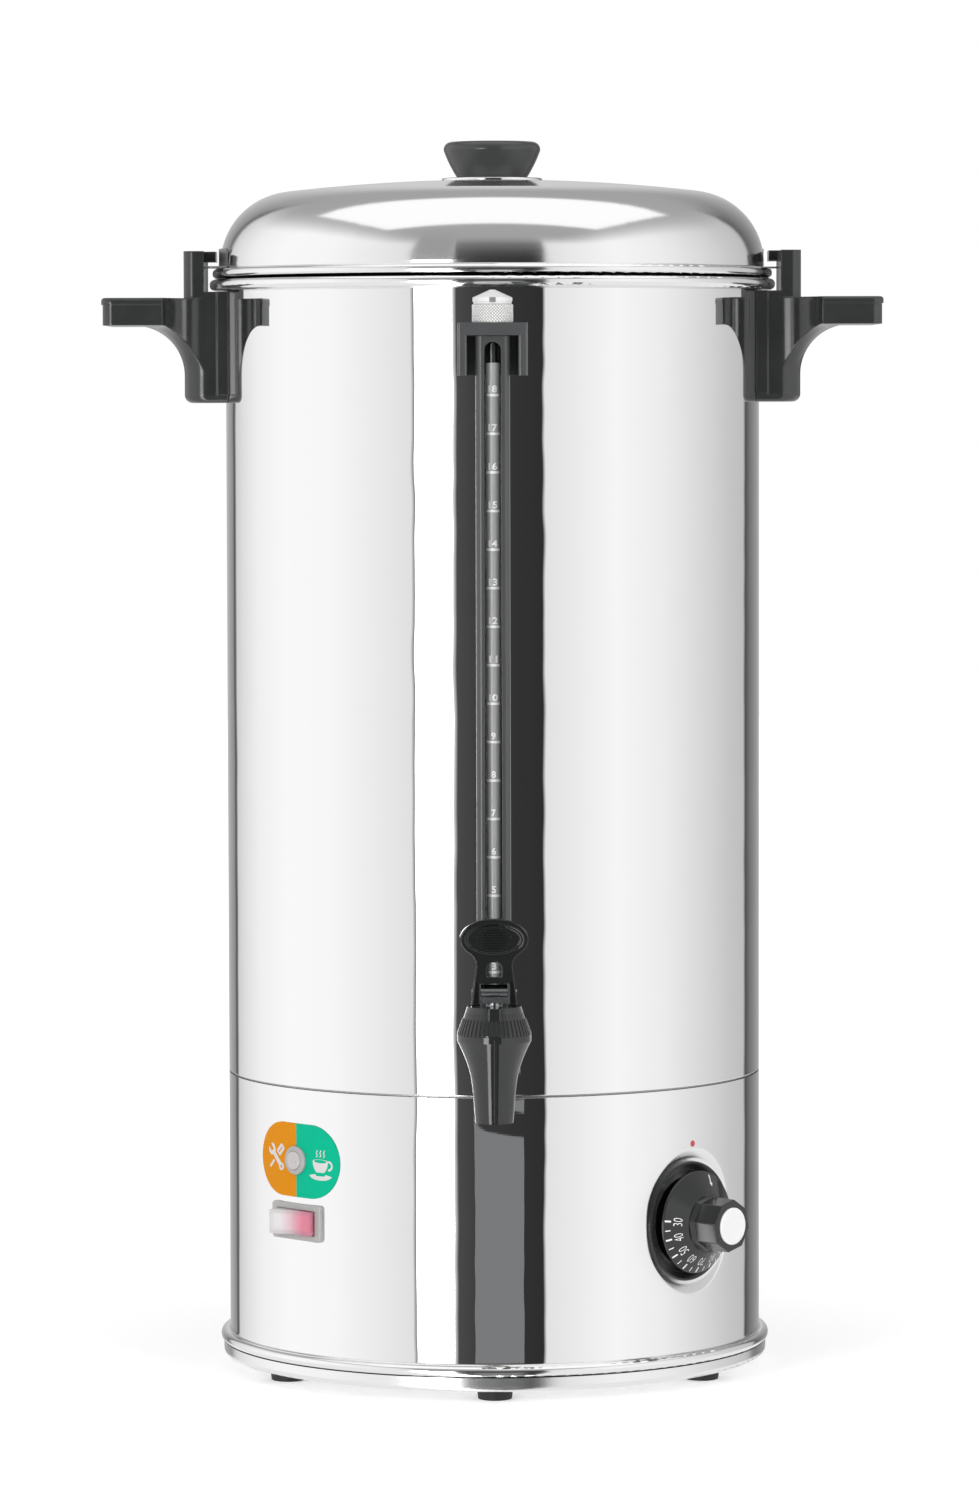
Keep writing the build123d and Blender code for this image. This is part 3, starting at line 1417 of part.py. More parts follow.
rocker_half = rocker_width / 2
cavity_width = rocker_width + 2 * side_gap
with BuildPart() as switch_frame:
    with BuildSketch(switch_plane.offset(switch_seat + switch_flange)):
        RectangleRounded(switch_length, switch_width, switch_corner)
    extrude(amount=-2 * switch_flange)
    fillet(edges_at(switch_plane, switch_seat + switch_flange), switch_edge)
    with BuildSketch(Plane.XY.offset(switch_height - switch_width)):
        Circle(tank_radius + seat_gap)
    extrude(amount=2 * switch_width, mode=Mode.SUBTRACT)
    with BuildSketch(switch_plane.offset(switch_seat + switch_flange / 2)):
        Rectangle(switch_body_length, switch_body_width)
    extrude(amount=-switch_flange / 2 - switch_spigot)
    with BuildSketch(switch_plane.offset(switch_seat + switch_flange)):
        Rectangle(rocker_window_length, cavity_width)
    extrude(amount=-switch_flange - switch_spigot, mode=Mode.SUBTRACT)
    with BuildSketch(Plane(switch_plane.origin, x_dir=switch_plane.x_dir, z_dir=switch_plane.y_dir)):
        with Locations((0, -rocker_pivot)):
            Circle(pivot_radius + run_gap)
    extrude(amount=rocker_half + pivot_reach + side_gap, both=True, mode=Mode.SUBTRACT)
save(switch_frame, "switch_frame")

switch_back = switch_seat - switch_spigot - seat_gap
with BuildPart() as switch_body:
    with BuildSketch(switch_plane.offset(switch_back)):
        Rectangle(switch_body_length, switch_body_width)
    extrude(amount=-switch_body_depth)
    with BuildSketch(switch_plane.offset(switch_back)):
        Rectangle(rocker_window_length, cavity_width)
    extrude(amount=-switch_cavity, mode=Mode.SUBTRACT)
save(switch_body, "switch_body")

# The rocker's side view: a hollow V on top, drawn upright and then tilted to its pressed side.
rocker_end = rocker_length / 2
rocker_high = rocker_ridge + rocker_end * tan(radians(rocker_rise))
with BuildPart() as switch_rocker:
    with BuildSketch(Plane(switch_plane.origin, x_dir=switch_plane.x_dir, z_dir=-switch_plane.y_dir)):
        with Locations((0, rocker_pivot)):
            with Locations(Rotation(0, 0, -rocker_tilt)):
                Polygon(
                    (-rocker_end, -rocker_under),
                    (rocker_end, -rocker_under),
                    (rocker_end, rocker_high),
                    (0, rocker_ridge),
                    (-rocker_end, rocker_high),
                    align=None,
                )
    extrude(amount=rocker_half, both=True)
    with BuildSketch(Plane(switch_plane.origin, x_dir=switch_plane.x_dir, z_dir=-switch_plane.y_dir)):
        with Locations((0, rocker_pivot)):
            Circle(pivot_radius)
    extrude(amount=rocker_half + pivot_reach, both=True)
save(switch_rocker, "switch_rocker")

# ================================================================ heating

with BuildPart() as heat_plate:
    with BuildSketch(Plane.XY.offset(heat_under)):
        Circle(plate_radius)
        with Locations((-cutout_ear, cutout_y), (cutout_ear, cutout_y)):
            Circle(m3_radius + thread_gap, mode=Mode.SUBTRACT)
    extrude(amount=plate_thick)
save(heat_plate, "heat_plate")

heater_height = heat_under - seat_gap - heater_radius
tail_swing = (360 - heater_sweep) / 2
with BuildPart() as heating_element:
    with BuildLine():
        ring = CenterArc((0, 0, heater_height), heater_ring, 90 + tail_swing, heater_sweep)
    with BuildSketch(Plane(ring @ 0, z_dir=ring % 0)):
        Circle(heater_radius)
    sweep(path=ring)
    for end in (ring @ 0, ring @ 1):
        with Locations(end):
            Sphere(heater_radius)
            Cylinder(
                heater_radius, heater_tail,
                align=(Align.CENTER, Align.CENTER, Align.MAX),
            )
            Cylinder(
                terminal_radius, heater_tail + terminal_length,
                align=(Align.CENTER, Align.CENTER, Align.MAX),
            )
save(heating_element, "heating_element")

cutout_top = heat_under - seat_gap
with BuildPart() as boil_dry_cutout:
    with BuildSketch(Plane.XY.offset(cutout_top)):
        with Locations((0, cutout_y)):
            Circle(cutout_radius)
    extrude(amount=-cutout_height)
    with BuildSketch(Plane.XY.offset(cutout_top)):
        with Locations((0, cutout_y)):
            SlotCenterToCenter(2 * cutout_ear, 4 * m3_radius)
            with Locations((-cutout_ear, 0), (cutout_ear, 0)):
                Circle(m3_radius + thread_gap, mode=Mode.SUBTRACT)
    extrude(amount=-washer_sheet)
save(boil_dry_cutout, "boil_dry_cutout")

with BuildPart() as cutout_screws:
    for side in (-cutout_ear, cutout_ear):
        screw(
            Plane(
                origin=(side, cutout_y, cutout_top - washer_sheet - seat_gap),
                x_dir=(1, 0, 0), z_dir=(0, 0, -1),
            ),
            m3_radius, washer_sheet + plate_thick,
        )
save(cutout_screws, "cutout_screws")

# The thermostat's bulb lies under the heat plate and its tube runs back to the thermostat.
bulb_plane = Plane(
    origin=(0, 0, 0),
    x_dir=(sin(radians(right_azimuth)), -cos(radians(right_azimuth)), 0),
    z_dir=(-cos(radians(right_azimuth)), -sin(radians(right_azimuth)), 0),
)
bulb_height = heat_under - seat_gap - bulb_radius
thermostat_rear = tank_radius - dial_sink + bezel_back - seat_gap - thermostat_depth
with BuildPart() as capillary_bulb:
    with BuildLine(bulb_plane):
        tube = FilletPolyline(
            (bulb_end - bulb_radius / 2, bulb_height),
            (bulb_end + tube_bend, bulb_height),
            (bulb_end + tube_bend, dial_height + tube_rise),
            (thermostat_rear - seat_gap, dial_height + tube_rise),
            radius=tube_bend - edge_slack,
        )
    with BuildSketch(Plane(tube @ 0, z_dir=tube % 0)):
        Circle(tube_radius)
    sweep(path=tube)
    with BuildSketch(Plane(tube @ 0, z_dir=tube % 0)):
        Circle(bulb_radius)
    extrude(amount=-bulb_length)
save(capillary_bulb, "capillary_bulb")

clip_inner = bulb_radius + sheet_gap
clip_foot = heat_under - seat_gap
clip_mid = clip_inner + clip_sheet / 2
clip_plane = Plane(
    origin=bulb_plane.x_dir * (bulb_end - bulb_length / 2 - clip_width / 2),
    x_dir=-bulb_plane.z_dir,
    z_dir=bulb_plane.x_dir,
)
with BuildPart() as bulb_clip:
    with BuildSketch(clip_plane):
        with BuildLine():
            FilletPolyline(
                (-clip_mid - clip_ear, clip_foot - clip_sheet / 2),
                (-clip_mid, clip_foot - clip_sheet / 2),
                (-clip_mid, bulb_height - clip_mid),
                (clip_mid, bulb_height - clip_mid),
                (clip_mid, clip_foot - clip_sheet / 2),
                (clip_mid + clip_ear, clip_foot - clip_sheet / 2),
                radius=(clip_sheet, clip_inner, clip_inner, clip_sheet),
            )
        trace(line_width=clip_sheet)
    extrude(amount=clip_width)
save(bulb_clip, "bulb_clip")

# ================================================================ mains

block_foot = foot_height + sheet + seat_gap
with BuildPart() as terminal_block:
    with BuildSketch(Plane.XY.offset(block_foot)):
        with Locations((0, block_y)):
            Rectangle(block_length, block_depth)
    extrude(amount=block_height)
    fillet(edges().group_by(Axis.Z)[-1], block_edge)
    with BuildSketch(Plane.XZ.offset(-block_y + block_depth / 2)):
        with GridLocations(block_length / 3, 0, 3, 1):
            with Locations((0, block_foot + wire_height)):
                Circle(wire_radius)
    extrude(amount=-block_depth, mode=Mode.SUBTRACT)
    with BuildSketch(Plane.XY.offset(block_foot + block_height)):
        with Locations((0, block_y)):
            with GridLocations(block_length / 3, 0, 3, 1):
                Circle(block_well)
    extrude(amount=-block_well_depth, mode=Mode.SUBTRACT)
    with BuildSketch(Plane.XY.offset(block_foot + block_height)):
        with Locations((0, block_y)):
            with GridLocations(block_length / 3, 0, 3, 1):
                Circle(m3_radius + thread_gap)
    extrude(amount=wire_height - block_height, mode=Mode.SUBTRACT)
save(terminal_block, "terminal_block")

with BuildPart() as terminal_screws:
    for side in (-block_length / 3, 0, block_length / 3):
        screw(
            Plane(
                origin=(side, block_y, block_foot + block_height - block_well_depth + seat_gap),
                x_dir=(1, 0, 0), z_dir=(0, 0, 1),
            ),
            m3_radius, block_height - block_well_depth - wire_height - wire_radius,
        )
save(terminal_screws, "terminal_screws")

with BuildPart() as cord_gland:
    with BuildSketch(gland_plane.offset(gland_sheet)):
        RegularPolygon(gland_hex, 6, major_radius=False)
    extrude(amount=gland_reach - gland_sheet, taper=gland_draft)
    with BuildSketch(gland_plane.offset(gland_sheet)):
        Circle(gland_flange)
    extrude(amount=-2 * gland_sheet)
    with BuildSketch(Plane.XY.offset(gland_height - gland_flange)):
        Circle(tank_radius + seat_gap)
    extrude(amount=2 * gland_flange, mode=Mode.SUBTRACT)
    with BuildSketch(gland_plane.offset(gland_sheet / 2)):
        Circle(gland_radius)
    extrude(amount=-gland_inside - gland_sheet / 2)
    with BuildSketch(gland_plane.offset(gland_reach)):
        Circle(gland_bore)
    extrude(amount=-gland_reach - gland_inside, mode=Mode.SUBTRACT)
save(cord_gland, "cord_gland")

gland_nut_seat = nut_standoff(gland_nut_across)
with BuildPart() as gland_nut:
    with BuildSketch(gland_plane.offset(-sheet - gland_nut_seat)):
        RegularPolygon(gland_nut_across, 6, major_radius=False)
        Circle(gland_radius + thread_gap, mode=Mode.SUBTRACT)
    extrude(amount=-gland_nut_sheet)
save(gland_nut, "gland_nut")
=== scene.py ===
import json
from math import cos, pi, radians, sin, sqrt

import bmesh
import bpy
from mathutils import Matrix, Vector
from mathutils.bvhtree import BVHTree


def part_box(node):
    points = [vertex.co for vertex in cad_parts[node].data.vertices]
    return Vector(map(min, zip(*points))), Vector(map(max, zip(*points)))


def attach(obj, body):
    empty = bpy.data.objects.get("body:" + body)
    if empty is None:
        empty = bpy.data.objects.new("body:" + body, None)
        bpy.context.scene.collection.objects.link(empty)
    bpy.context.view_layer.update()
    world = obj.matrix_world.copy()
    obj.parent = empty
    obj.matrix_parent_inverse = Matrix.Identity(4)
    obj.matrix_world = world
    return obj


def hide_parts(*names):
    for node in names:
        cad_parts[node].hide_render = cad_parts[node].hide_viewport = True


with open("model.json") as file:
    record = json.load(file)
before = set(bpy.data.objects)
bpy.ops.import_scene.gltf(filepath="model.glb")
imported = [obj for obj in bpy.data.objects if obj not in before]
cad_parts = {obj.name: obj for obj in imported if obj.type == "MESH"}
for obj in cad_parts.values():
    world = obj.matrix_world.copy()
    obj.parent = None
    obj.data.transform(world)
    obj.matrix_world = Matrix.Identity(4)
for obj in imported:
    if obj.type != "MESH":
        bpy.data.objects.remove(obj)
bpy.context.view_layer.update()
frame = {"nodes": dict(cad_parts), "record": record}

# An 18 litre hot water urn. Metres throughout; MM turns a size in millimetres into metres.
MM = 0.001
UP = Vector((0, 0, 1))

# ---------------------------------------------------------------- sizes shared with the frame
TANK_RADIUS = 132.5 * MM
WALL = 0.8 * MM                        # thickness of the tank's sheet
TANK_INSIDE = (151 * MM, 535 * MM)     # heights between which the tank's inside can be seen
BEADS = (18.6 * MM, 535.3 * MM)        # top of the foot bead, underside of the rim bead
SEAM_HEIGHT = 148.0 * MM               # between the tank and the skirt
SEAM_SHADE_HALF = 0.5 * MM                   # half the height of the line of painted shade in that seam
RIM_SHADE_HALF = 0.45 * MM                   # and in the fold between rim and lid
DIAL_AZIMUTH = radians(46.7)
DIAL_HEIGHT = 82.2 * MM
DIAL_SINK = 3.45 * MM                  # how deep the flat for the dial is pressed into the skirt
FLAT_EDGE = (33 * MM, 44 * MM)         # where that flat turns back, from the dial's middle
DIAL_RIM = (24.9 * MM, 6.5 * MM)       # radius and stand of the scale ring's outer edge
DIAL_CROWN = (14.4 * MM, 13.5 * MM)    # and of its inner edge, under the grip
DOT_HEIGHT = 120.3 * MM
LABEL_AZIMUTH = radians(-46.5)
LABEL_HEIGHT = 112.7 * MM
LABEL_FACE = TANK_RADIUS + 0.45 * MM
SWITCH_HEIGHT = 82.7 * MM
GAUGE_Y = -150 * MM
TUBE_RADIUS = 3.6 * MM
STRIPE_TOP = 499.4 * MM                # of the milk-grey stripe in the glass
NUT_RADIUS = 9.8 * MM
VENT_RADIUS = 9.4 * MM
LITRE_ZERO = 155.3 * MM                # height at which the litre scale starts
LITRE = 18.27 * MM                     # height that a litre takes in the tank
PRINT = 0.04 * MM                      # thickness of printed ink


def out_of(azimuth):
    """Unit vector out of the tank at an azimuth from the front, to the right when positive."""
    return Vector((sin(azimuth), -cos(azimuth), 0))


LABEL_RIGHT = (cos(LABEL_AZIMUTH), sin(LABEL_AZIMUTH), 0)

# ---------------------------------------------------------------- colour and node helpers


def linear(hex_colour):
    """sRGB hex to the linear RGBA that shaders take."""
    def channel(pair):
        value = int(pair, 16) / 255
        return value / 12.92 if value <= 0.04045 else ((value + 0.055) / 1.055) ** 2.4
    return tuple(channel(hex_colour[i:i + 2]) for i in (1, 3, 5)) + (1.0,)


def add(tree, kind, sockets=None, **settings):
    """Adds one node. Settings are its properties; sockets are its inputs, by name or number.

    An input takes a plain value, another node, whose first live output feeds it, or a pair of a
    node and the name of its output.
    """
    node = tree.nodes.new(kind)
    for name, value in settings.items():
        setattr(node, name, value)
    for socket, source in (sockets or {}).items():
        if isinstance(source, bpy.types.Node):
            live = next(output for output in source.outputs if output.enabled)
            tree.links.new(live, node.inputs[socket])
        elif isinstance(source, tuple) and isinstance(source[0], bpy.types.Node):
            tree.links.new(source[0].outputs[source[1]], node.inputs[socket])
        else:
            node.inputs[socket].default_value = source
    return node


def new_material(name):
    """A material with an empty node tree, and that tree."""
    material = bpy.data.materials.new(name)
    material.use_nodes = True
    material.node_tree.nodes.clear()
    return material, material.node_tree


# ---------------------------------------------------------------- metals


def polished_steel(name, rough, line_mm, line_depth_mm, wave_mm, wave_depth_mm, bead_rough=0.0):
    """Stainless sheet buffed on a lathe: a mirror with rings of fine buffing lines.

    The lines run round the tank's axis and smear what the steel mirrors a little, up and down.
    The sheet also isn't quite true, so straight edges mirrored in it waver.
    """
    material, tree = new_material(name)
    place = add(tree, "ShaderNodeNewGeometry")
    split = add(tree, "ShaderNodeSeparateXYZ", {0: place})
    height = (split, "Z")
    flat = add(tree, "ShaderNodeVectorMath", {0: place, 1: (1, 1, 0)}, operation="MULTIPLY")
    reach = add(tree, "ShaderNodeVectorMath", {0: flat}, operation="LENGTH")
    rings = add(tree, "ShaderNodeCombineXYZ", {"X": reach, "Z": height})
    lines = add(
        tree, "ShaderNodeTexNoise", {"Vector": rings, "Scale": 1 / (line_mm * MM), "Detail": 3.0}
    )
    waves = add(
        tree, "ShaderNodeTexNoise", {"Vector": place, "Scale": 1 / (wave_mm * MM), "Detail": 1.0}
    )
    buffed = add(
        tree, "ShaderNodeMapRange", {"Value": lines, "To Min": rough[0], "To Max": rough[1]}
    )
    # The buffing wheel doesn't reach into the beads at rim and foot, so they stay duller.
    under = add(tree, "ShaderNodeMath", {0: height, 1: BEADS[0]}, operation="LESS_THAN")
    over = add(tree, "ShaderNodeMath", {0: height, 1: BEADS[1]}, operation="GREATER_THAN")
    on_bead = add(tree, "ShaderNodeMath", {0: over, 1: under}, operation="ADD")
    bead = add(tree, "ShaderNodeMath", {0: on_bead, 1: bead_rough}, operation="MULTIPLY")
    # Nor does it follow the edge of the flat pressed in for the dial.
    dial = out_of(DIAL_AZIMUTH) * TANK_RADIUS + UP * DIAL_HEIGHT
    from_dial = add(tree, "ShaderNodeVectorMath", {0: place, 1: dial}, operation="DISTANCE")
    pressed = add(
        tree, "ShaderNodeMapRange",
        {
            "Value": from_dial, "From Min": FLAT_EDGE[0], "From Max": FLAT_EDGE[1],
            "To Min": 0.24, "To Max": 0.0,
        },
    )
    # Inside, the tank keeps the sheet's mill finish: dull enough to show the light that falls in.
    within = add(
        tree, "ShaderNodeMath", {0: reach, 1: TANK_RADIUS - WALL / 2}, operation="LESS_THAN"
    )
    low, high = TANK_INSIDE
    between = add(
        tree, "ShaderNodeMath", {0: height, 1: (low + high) / 2, 2: (high - low) / 2},
        operation="COMPARE",
    )
    inside = add(tree, "ShaderNodeMath", {0: within, 1: between}, operation="MULTIPLY")
    mill = add(tree, "ShaderNodeMath", {0: inside, 1: 0.3}, operation="MULTIPLY")
    metal = add(tree, "ShaderNodeMapRange", {"Value": inside, "To Min": 1.0, "To Max": 0.5})
    finish = buffed
    for duller in (bead, pressed, mill):
        finish = add(tree, "ShaderNodeMath", {0: finish, 1: duller}, operation="ADD")
    # Painted shade: the folds where tank and skirt, and rim and lid, meet are tinted near-black,
    # standing in for their shadow.
    seam = add(
        tree, "ShaderNodeMath", {0: height, 1: SEAM_HEIGHT, 2: SEAM_SHADE_HALF}, operation="COMPARE"
    )
    rim = add(
        tree, "ShaderNodeMath", {0: height, 1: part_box("tank_shell")[1].z, 2: RIM_SHADE_HALF},
        operation="COMPARE",
    )
    fold_shade = add(tree, "ShaderNodeMath", {0: seam, 1: rim}, operation="MAXIMUM")
    # The near-black in the folds is painted shade, not a colour of the steel.
    tint = add(
        tree, "ShaderNodeMix",
        {"Factor": fold_shade, "A": linear("#F2F2F2"), "B": linear("#181818")}, data_type="RGBA",
    )
    # Buffing rounds the sheet's folds a little. The beads are rolled tight: they keep their shape
    # and don't waver.
    off_bead = add(tree, "ShaderNodeMath", {0: 1.0, 1: on_bead}, operation="SUBTRACT")
    round_off = add(tree, "ShaderNodeMath", {0: off_bead, 1: 0.8 * MM}, operation="MULTIPLY")
    edges = add(tree, "ShaderNodeBevel", {"Radius": round_off}, samples=8)
    swell = add(tree, "ShaderNodeMath", {0: waves, 1: off_bead}, operation="MULTIPLY")
    wavy = add(
        tree, "ShaderNodeBump",
        {"Height": swell, "Normal": edges, "Distance": wave_depth_mm * MM, "Strength": 1.0},
    )
    relief = add(
        tree, "ShaderNodeBump",
        {"Height": lines, "Normal": wavy, "Distance": line_depth_mm * MM, "Strength": 1.0},
    )
    shader = add(
        tree, "ShaderNodeBsdfPrincipled",
        {"Base Color": tint, "Metallic": metal, "Roughness": finish, "Normal": relief},
    )
    add(tree, "ShaderNodeOutputMaterial", {"Surface": shader})
    return material


def plain_metal(name, colour, worn, rough, grain_mm, depth_mm):
    """A dull metal: its grain shows in colour, in gloss and as a fine relief."""
    material, tree = new_material(name)
    place = add(tree, "ShaderNodeNewGeometry")
    grain = add(
        tree, "ShaderNodeTexNoise", {"Vector": place, "Scale": 1 / (grain_mm * MM), "Detail": 4.0}
    )
    tint = add(
        tree, "ShaderNodeMix", {"Factor": grain, "A": linear(colour), "B": linear(worn)},
        data_type="RGBA",
    )
    gloss = add(
        tree, "ShaderNodeMapRange", {"Value": grain, "To Min": rough[0], "To Max": rough[1]}
    )
    relief = add(
        tree, "ShaderNodeBump", {"Height": grain, "Distance": depth_mm * MM, "Strength": 0.4}
    )
    shader = add(
        tree, "ShaderNodeBsdfPrincipled",
        {"Base Color": tint, "Metallic": 1.0, "Roughness": gloss, "Normal": relief},
    )
    add(tree, "ShaderNodeOutputMaterial", {"Surface": shader})
    return material


# ---------------------------------------------------------------- plastics, rubber and glass


def moulded(name, colour, faded, rough, skin_mm, depth_mm, ior=1.5, round_mm=0.5):
    """A moulded piece: the skin of its tool as a fine relief, and a gloss that drifts with flow."""
    material, tree = new_material(name)
    place = add(tree, "ShaderNodeNewGeometry")
    flow = add(tree, "ShaderNodeTexNoise", {"Vector": place, "Scale": 1 / (22 * MM), "Detail": 2.0})
    skin = add(
        tree, "ShaderNodeTexNoise", {"Vector": place, "Scale": 1 / (skin_mm * MM), "Detail": 3.0}
    )
    tint = add(
        tree, "ShaderNodeMix", {"Factor": flow, "A": linear(colour), "B": linear(faded)},
        data_type="RGBA",
    )
    gloss = add(
        tree, "ShaderNodeMapRange", {"Value": flow, "To Min": rough[0], "To Max": rough[1]}
    )
    # Moulded edges are never sharp: each one turns through a small round and catches light.
    edges = add(tree, "ShaderNodeBevel", {"Radius": round_mm * MM}, samples=8)
    relief = add(
        tree, "ShaderNodeBump",
        {"Height": skin, "Normal": edges, "Distance": depth_mm * MM, "Strength": 0.4},
    )
    shader = add(
        tree, "ShaderNodeBsdfPrincipled",
        {"Base Color": tint, "Roughness": gloss, "Normal": relief, "IOR": ior},
    )
    add(tree, "ShaderNodeOutputMaterial", {"Surface": shader})
    return material


def screen_ink(name, colour, faded):
    """Printing ink: matt, slightly uneven where the screen laid it thinner."""
    return moulded(name, colour, faded, rough=(0.45, 0.6), skin_mm=0.4, depth_mm=0.004)


def knurled_plastic():
    """White moulded plastic with painted shade in its knurl: grey at the bottom of the grooves, so
    the knurl can be read.
    """
    material, tree = new_material("knurled_polypropylene_groove_shade")
    place = add(tree, "ShaderNodeNewGeometry")
    middle = add(tree, "ShaderNodeVectorMath", {0: place, 1: (0, GAUGE_Y, 0)}, operation="SUBTRACT")
    flat = add(tree, "ShaderNodeVectorMath", {0: middle, 1: (1, 1, 0)}, operation="MULTIPLY")
    reach = add(tree, "ShaderNodeVectorMath", {0: flat}, operation="LENGTH")
    groove_shade_fade = add(
        tree, "ShaderNodeMapRange",
        {"Value": reach, "From Min": NUT_RADIUS - 0.42 * MM, "From Max": NUT_RADIUS - 0.05 * MM},
    )
    skin = add(
        tree, "ShaderNodeTexNoise",
        {"Vector": place, "Scale": 1 / (0.8 * MM), "Detail": 3.0},
    )
    # Painted shade: grey deep in the knurl's grooves, white towards their crests.
    tint = add(
        tree, "ShaderNodeMix",
        {"Factor": groove_shade_fade, "A": linear("#A2A2A2"), "B": linear("#F6F6F5")}, data_type="RGBA",
    )
    gloss = add(tree, "ShaderNodeMapRange", {"Value": skin, "To Min": 0.3, "To Max": 0.42})
    relief = add(
        tree, "ShaderNodeBump", {"Height": skin, "Distance": 0.004 * MM, "Strength": 0.4}
    )
    shader = add(
        tree, "ShaderNodeBsdfPrincipled",
        {"Base Color": tint, "Roughness": gloss, "Normal": relief, "IOR": 1.49},
    )
    add(tree, "ShaderNodeOutputMaterial", {"Surface": shader})
    return material


def two_colour_plate():
    """Aluminium label, screen-printed orange on its left half and green on its right.

    Printed lacquer over metal: flat, even colour with a soft sheen and a very fine screen grain.
    """
    material, tree = new_material("screen_printed_aluminium")
    place = add(tree, "ShaderNodeNewGeometry")
    along = add(tree, "ShaderNodeVectorMath", {0: place, 1: LABEL_RIGHT}, operation="DOT_PRODUCT")
    side = add(tree, "ShaderNodeMath", {0: along, 1: 0.0}, operation="GREATER_THAN")
    halves = add(
        tree, "ShaderNodeMix",
        {"Factor": side, "A": linear("#E2900F"), "B": linear("#00BB92")}, data_type="RGBA",
    )
    screen = add(
        tree, "ShaderNodeTexNoise",
        {"Vector": place, "Scale": 1 / (0.5 * MM), "Detail": 2.0},
    )
    shade = add(tree, "ShaderNodeMapRange", {"Value": screen, "To Min": 0.93, "To Max": 1.05})
    lacquer = add(tree, "ShaderNodeVectorMath", {0: halves, "Scale": shade}, operation="SCALE")
    relief = add(
        tree, "ShaderNodeBump", {"Height": screen, "Distance": 0.01 * MM, "Strength": 0.3}
    )
    shader = add(
        tree, "ShaderNodeBsdfPrincipled",
        {"Base Color": lacquer, "Normal": relief, "Roughness": 0.5, "Specular IOR Level": 0.12},
    )
    add(tree, "ShaderNodeOutputMaterial", {"Surface": shader})
    return material


def striped_glass():
    """Drawn gauge glass with a milk-grey stripe fused in behind the bore.

    Up to the top of the stripe it reads as pale grey with bright streaks, above it as dark glass.
    """
    material, tree = new_material("milk_striped_glass")
    place = add(tree, "ShaderNodeNewGeometry")
    split = add(tree, "ShaderNodeSeparateXYZ", {0: place})
    striped = add(tree, "ShaderNodeMath", {0: (split, "Z"), 1: STRIPE_TOP}, operation="LESS_THAN")
    clear = add(tree, "ShaderNodeMapRange", {"Value": striped, "To Min": 1.0, "To Max": 0.12})
    draw = add(tree, "ShaderNodeTexNoise", {"Vector": place, "Scale": 1 / (6 * MM), "Detail": 1.0})
    gloss = add(tree, "ShaderNodeMapRange", {"Value": draw, "To Min": 0.02, "To Max": 0.05})
    milk = add(
        tree, "ShaderNodeMix",
        {"Factor": draw, "A": linear("#B2B3B3"), "B": linear("#BABBBB")}, data_type="RGBA",
    )
    shader = add(
        tree, "ShaderNodeBsdfPrincipled",
        {"Base Color": milk, "Roughness": gloss, "Transmission Weight": clear, "IOR": 1.47},
    )
    add(tree, "ShaderNodeOutputMaterial", {"Surface": shader})
    return material


def ringed_lens():
    """Frosted polycarbonate lens, moulded with rings that spread the lamp's light."""
    material, tree = new_material("ringed_polycarbonate")
    place = add(tree, "ShaderNodeNewGeometry")
    lamp = out_of(LABEL_AZIMUTH) * TANK_RADIUS + UP * LABEL_HEIGHT
    middle = add(tree, "ShaderNodeVectorMath", {0: place, 1: lamp}, operation="SUBTRACT")
    across = add(
        tree, "ShaderNodeVectorMath", {0: middle, 1: out_of(LABEL_AZIMUTH)},
        operation="CROSS_PRODUCT",
    )
    away = add(tree, "ShaderNodeVectorMath", {0: across}, operation="LENGTH")
    turns = add(tree, "ShaderNodeMath", {0: away, 1: 2 * pi / (1.3 * MM)}, operation="MULTIPLY")
    rings = add(tree, "ShaderNodeMath", {0: turns}, operation="SINE")
    relief = add(
        tree, "ShaderNodeBump", {"Height": rings, "Distance": 0.09 * MM, "Strength": 1.0}
    )
    frost = add(
        tree, "ShaderNodeTexNoise",
        {"Vector": place, "Scale": 1 / (0.8 * MM), "Detail": 2.0},
    )
    tint = add(
        tree, "ShaderNodeMix",
        {"Factor": frost, "A": linear("#D0CBC9"), "B": linear("#C1BCBB")}, data_type="RGBA",
    )
    gloss = add(tree, "ShaderNodeMapRange", {"Value": frost, "To Min": 0.15, "To Max": 0.28})
    shader = add(
        tree, "ShaderNodeBsdfPrincipled",
        {"Base Color": tint, "Roughness": gloss, "Normal": relief, "IOR": 1.58},
    )
    add(tree, "ShaderNodeOutputMaterial", {"Surface": shader})
    return material


def rocker_tint(name, pale, deep, clear):
    """Polycarbonate, frosted at the rocker's left end and tinted towards its right end."""
    material, tree = new_material(name)
    place = add(tree, "ShaderNodeNewGeometry")
    along = add(tree, "ShaderNodeVectorMath", {0: place, 1: LABEL_RIGHT}, operation="DOT_PRODUCT")
    share = add(
        tree, "ShaderNodeMapRange", {"Value": along, "From Min": -5 * MM, "From Max": 8 * MM}
    )
    frost = add(
        tree, "ShaderNodeTexNoise",
        {"Vector": place, "Scale": 1 / (1.2 * MM), "Detail": 2.0},
    )
    tint = add(
        tree, "ShaderNodeMix", {"Factor": share, "A": linear(pale), "B": linear(deep)},
        data_type="RGBA",
    )
    gloss = add(tree, "ShaderNodeMapRange", {"Value": frost, "To Min": 0.18, "To Max": 0.28})
    shader = add(
        tree, "ShaderNodeBsdfPrincipled",
        {"Base Color": tint, "Roughness": gloss, "Transmission Weight": clear, "IOR": 1.58},
    )
    add(tree, "ShaderNodeOutputMaterial", {"Surface": shader})
    return material


# ---------------------------------------------------------------- which finish goes where

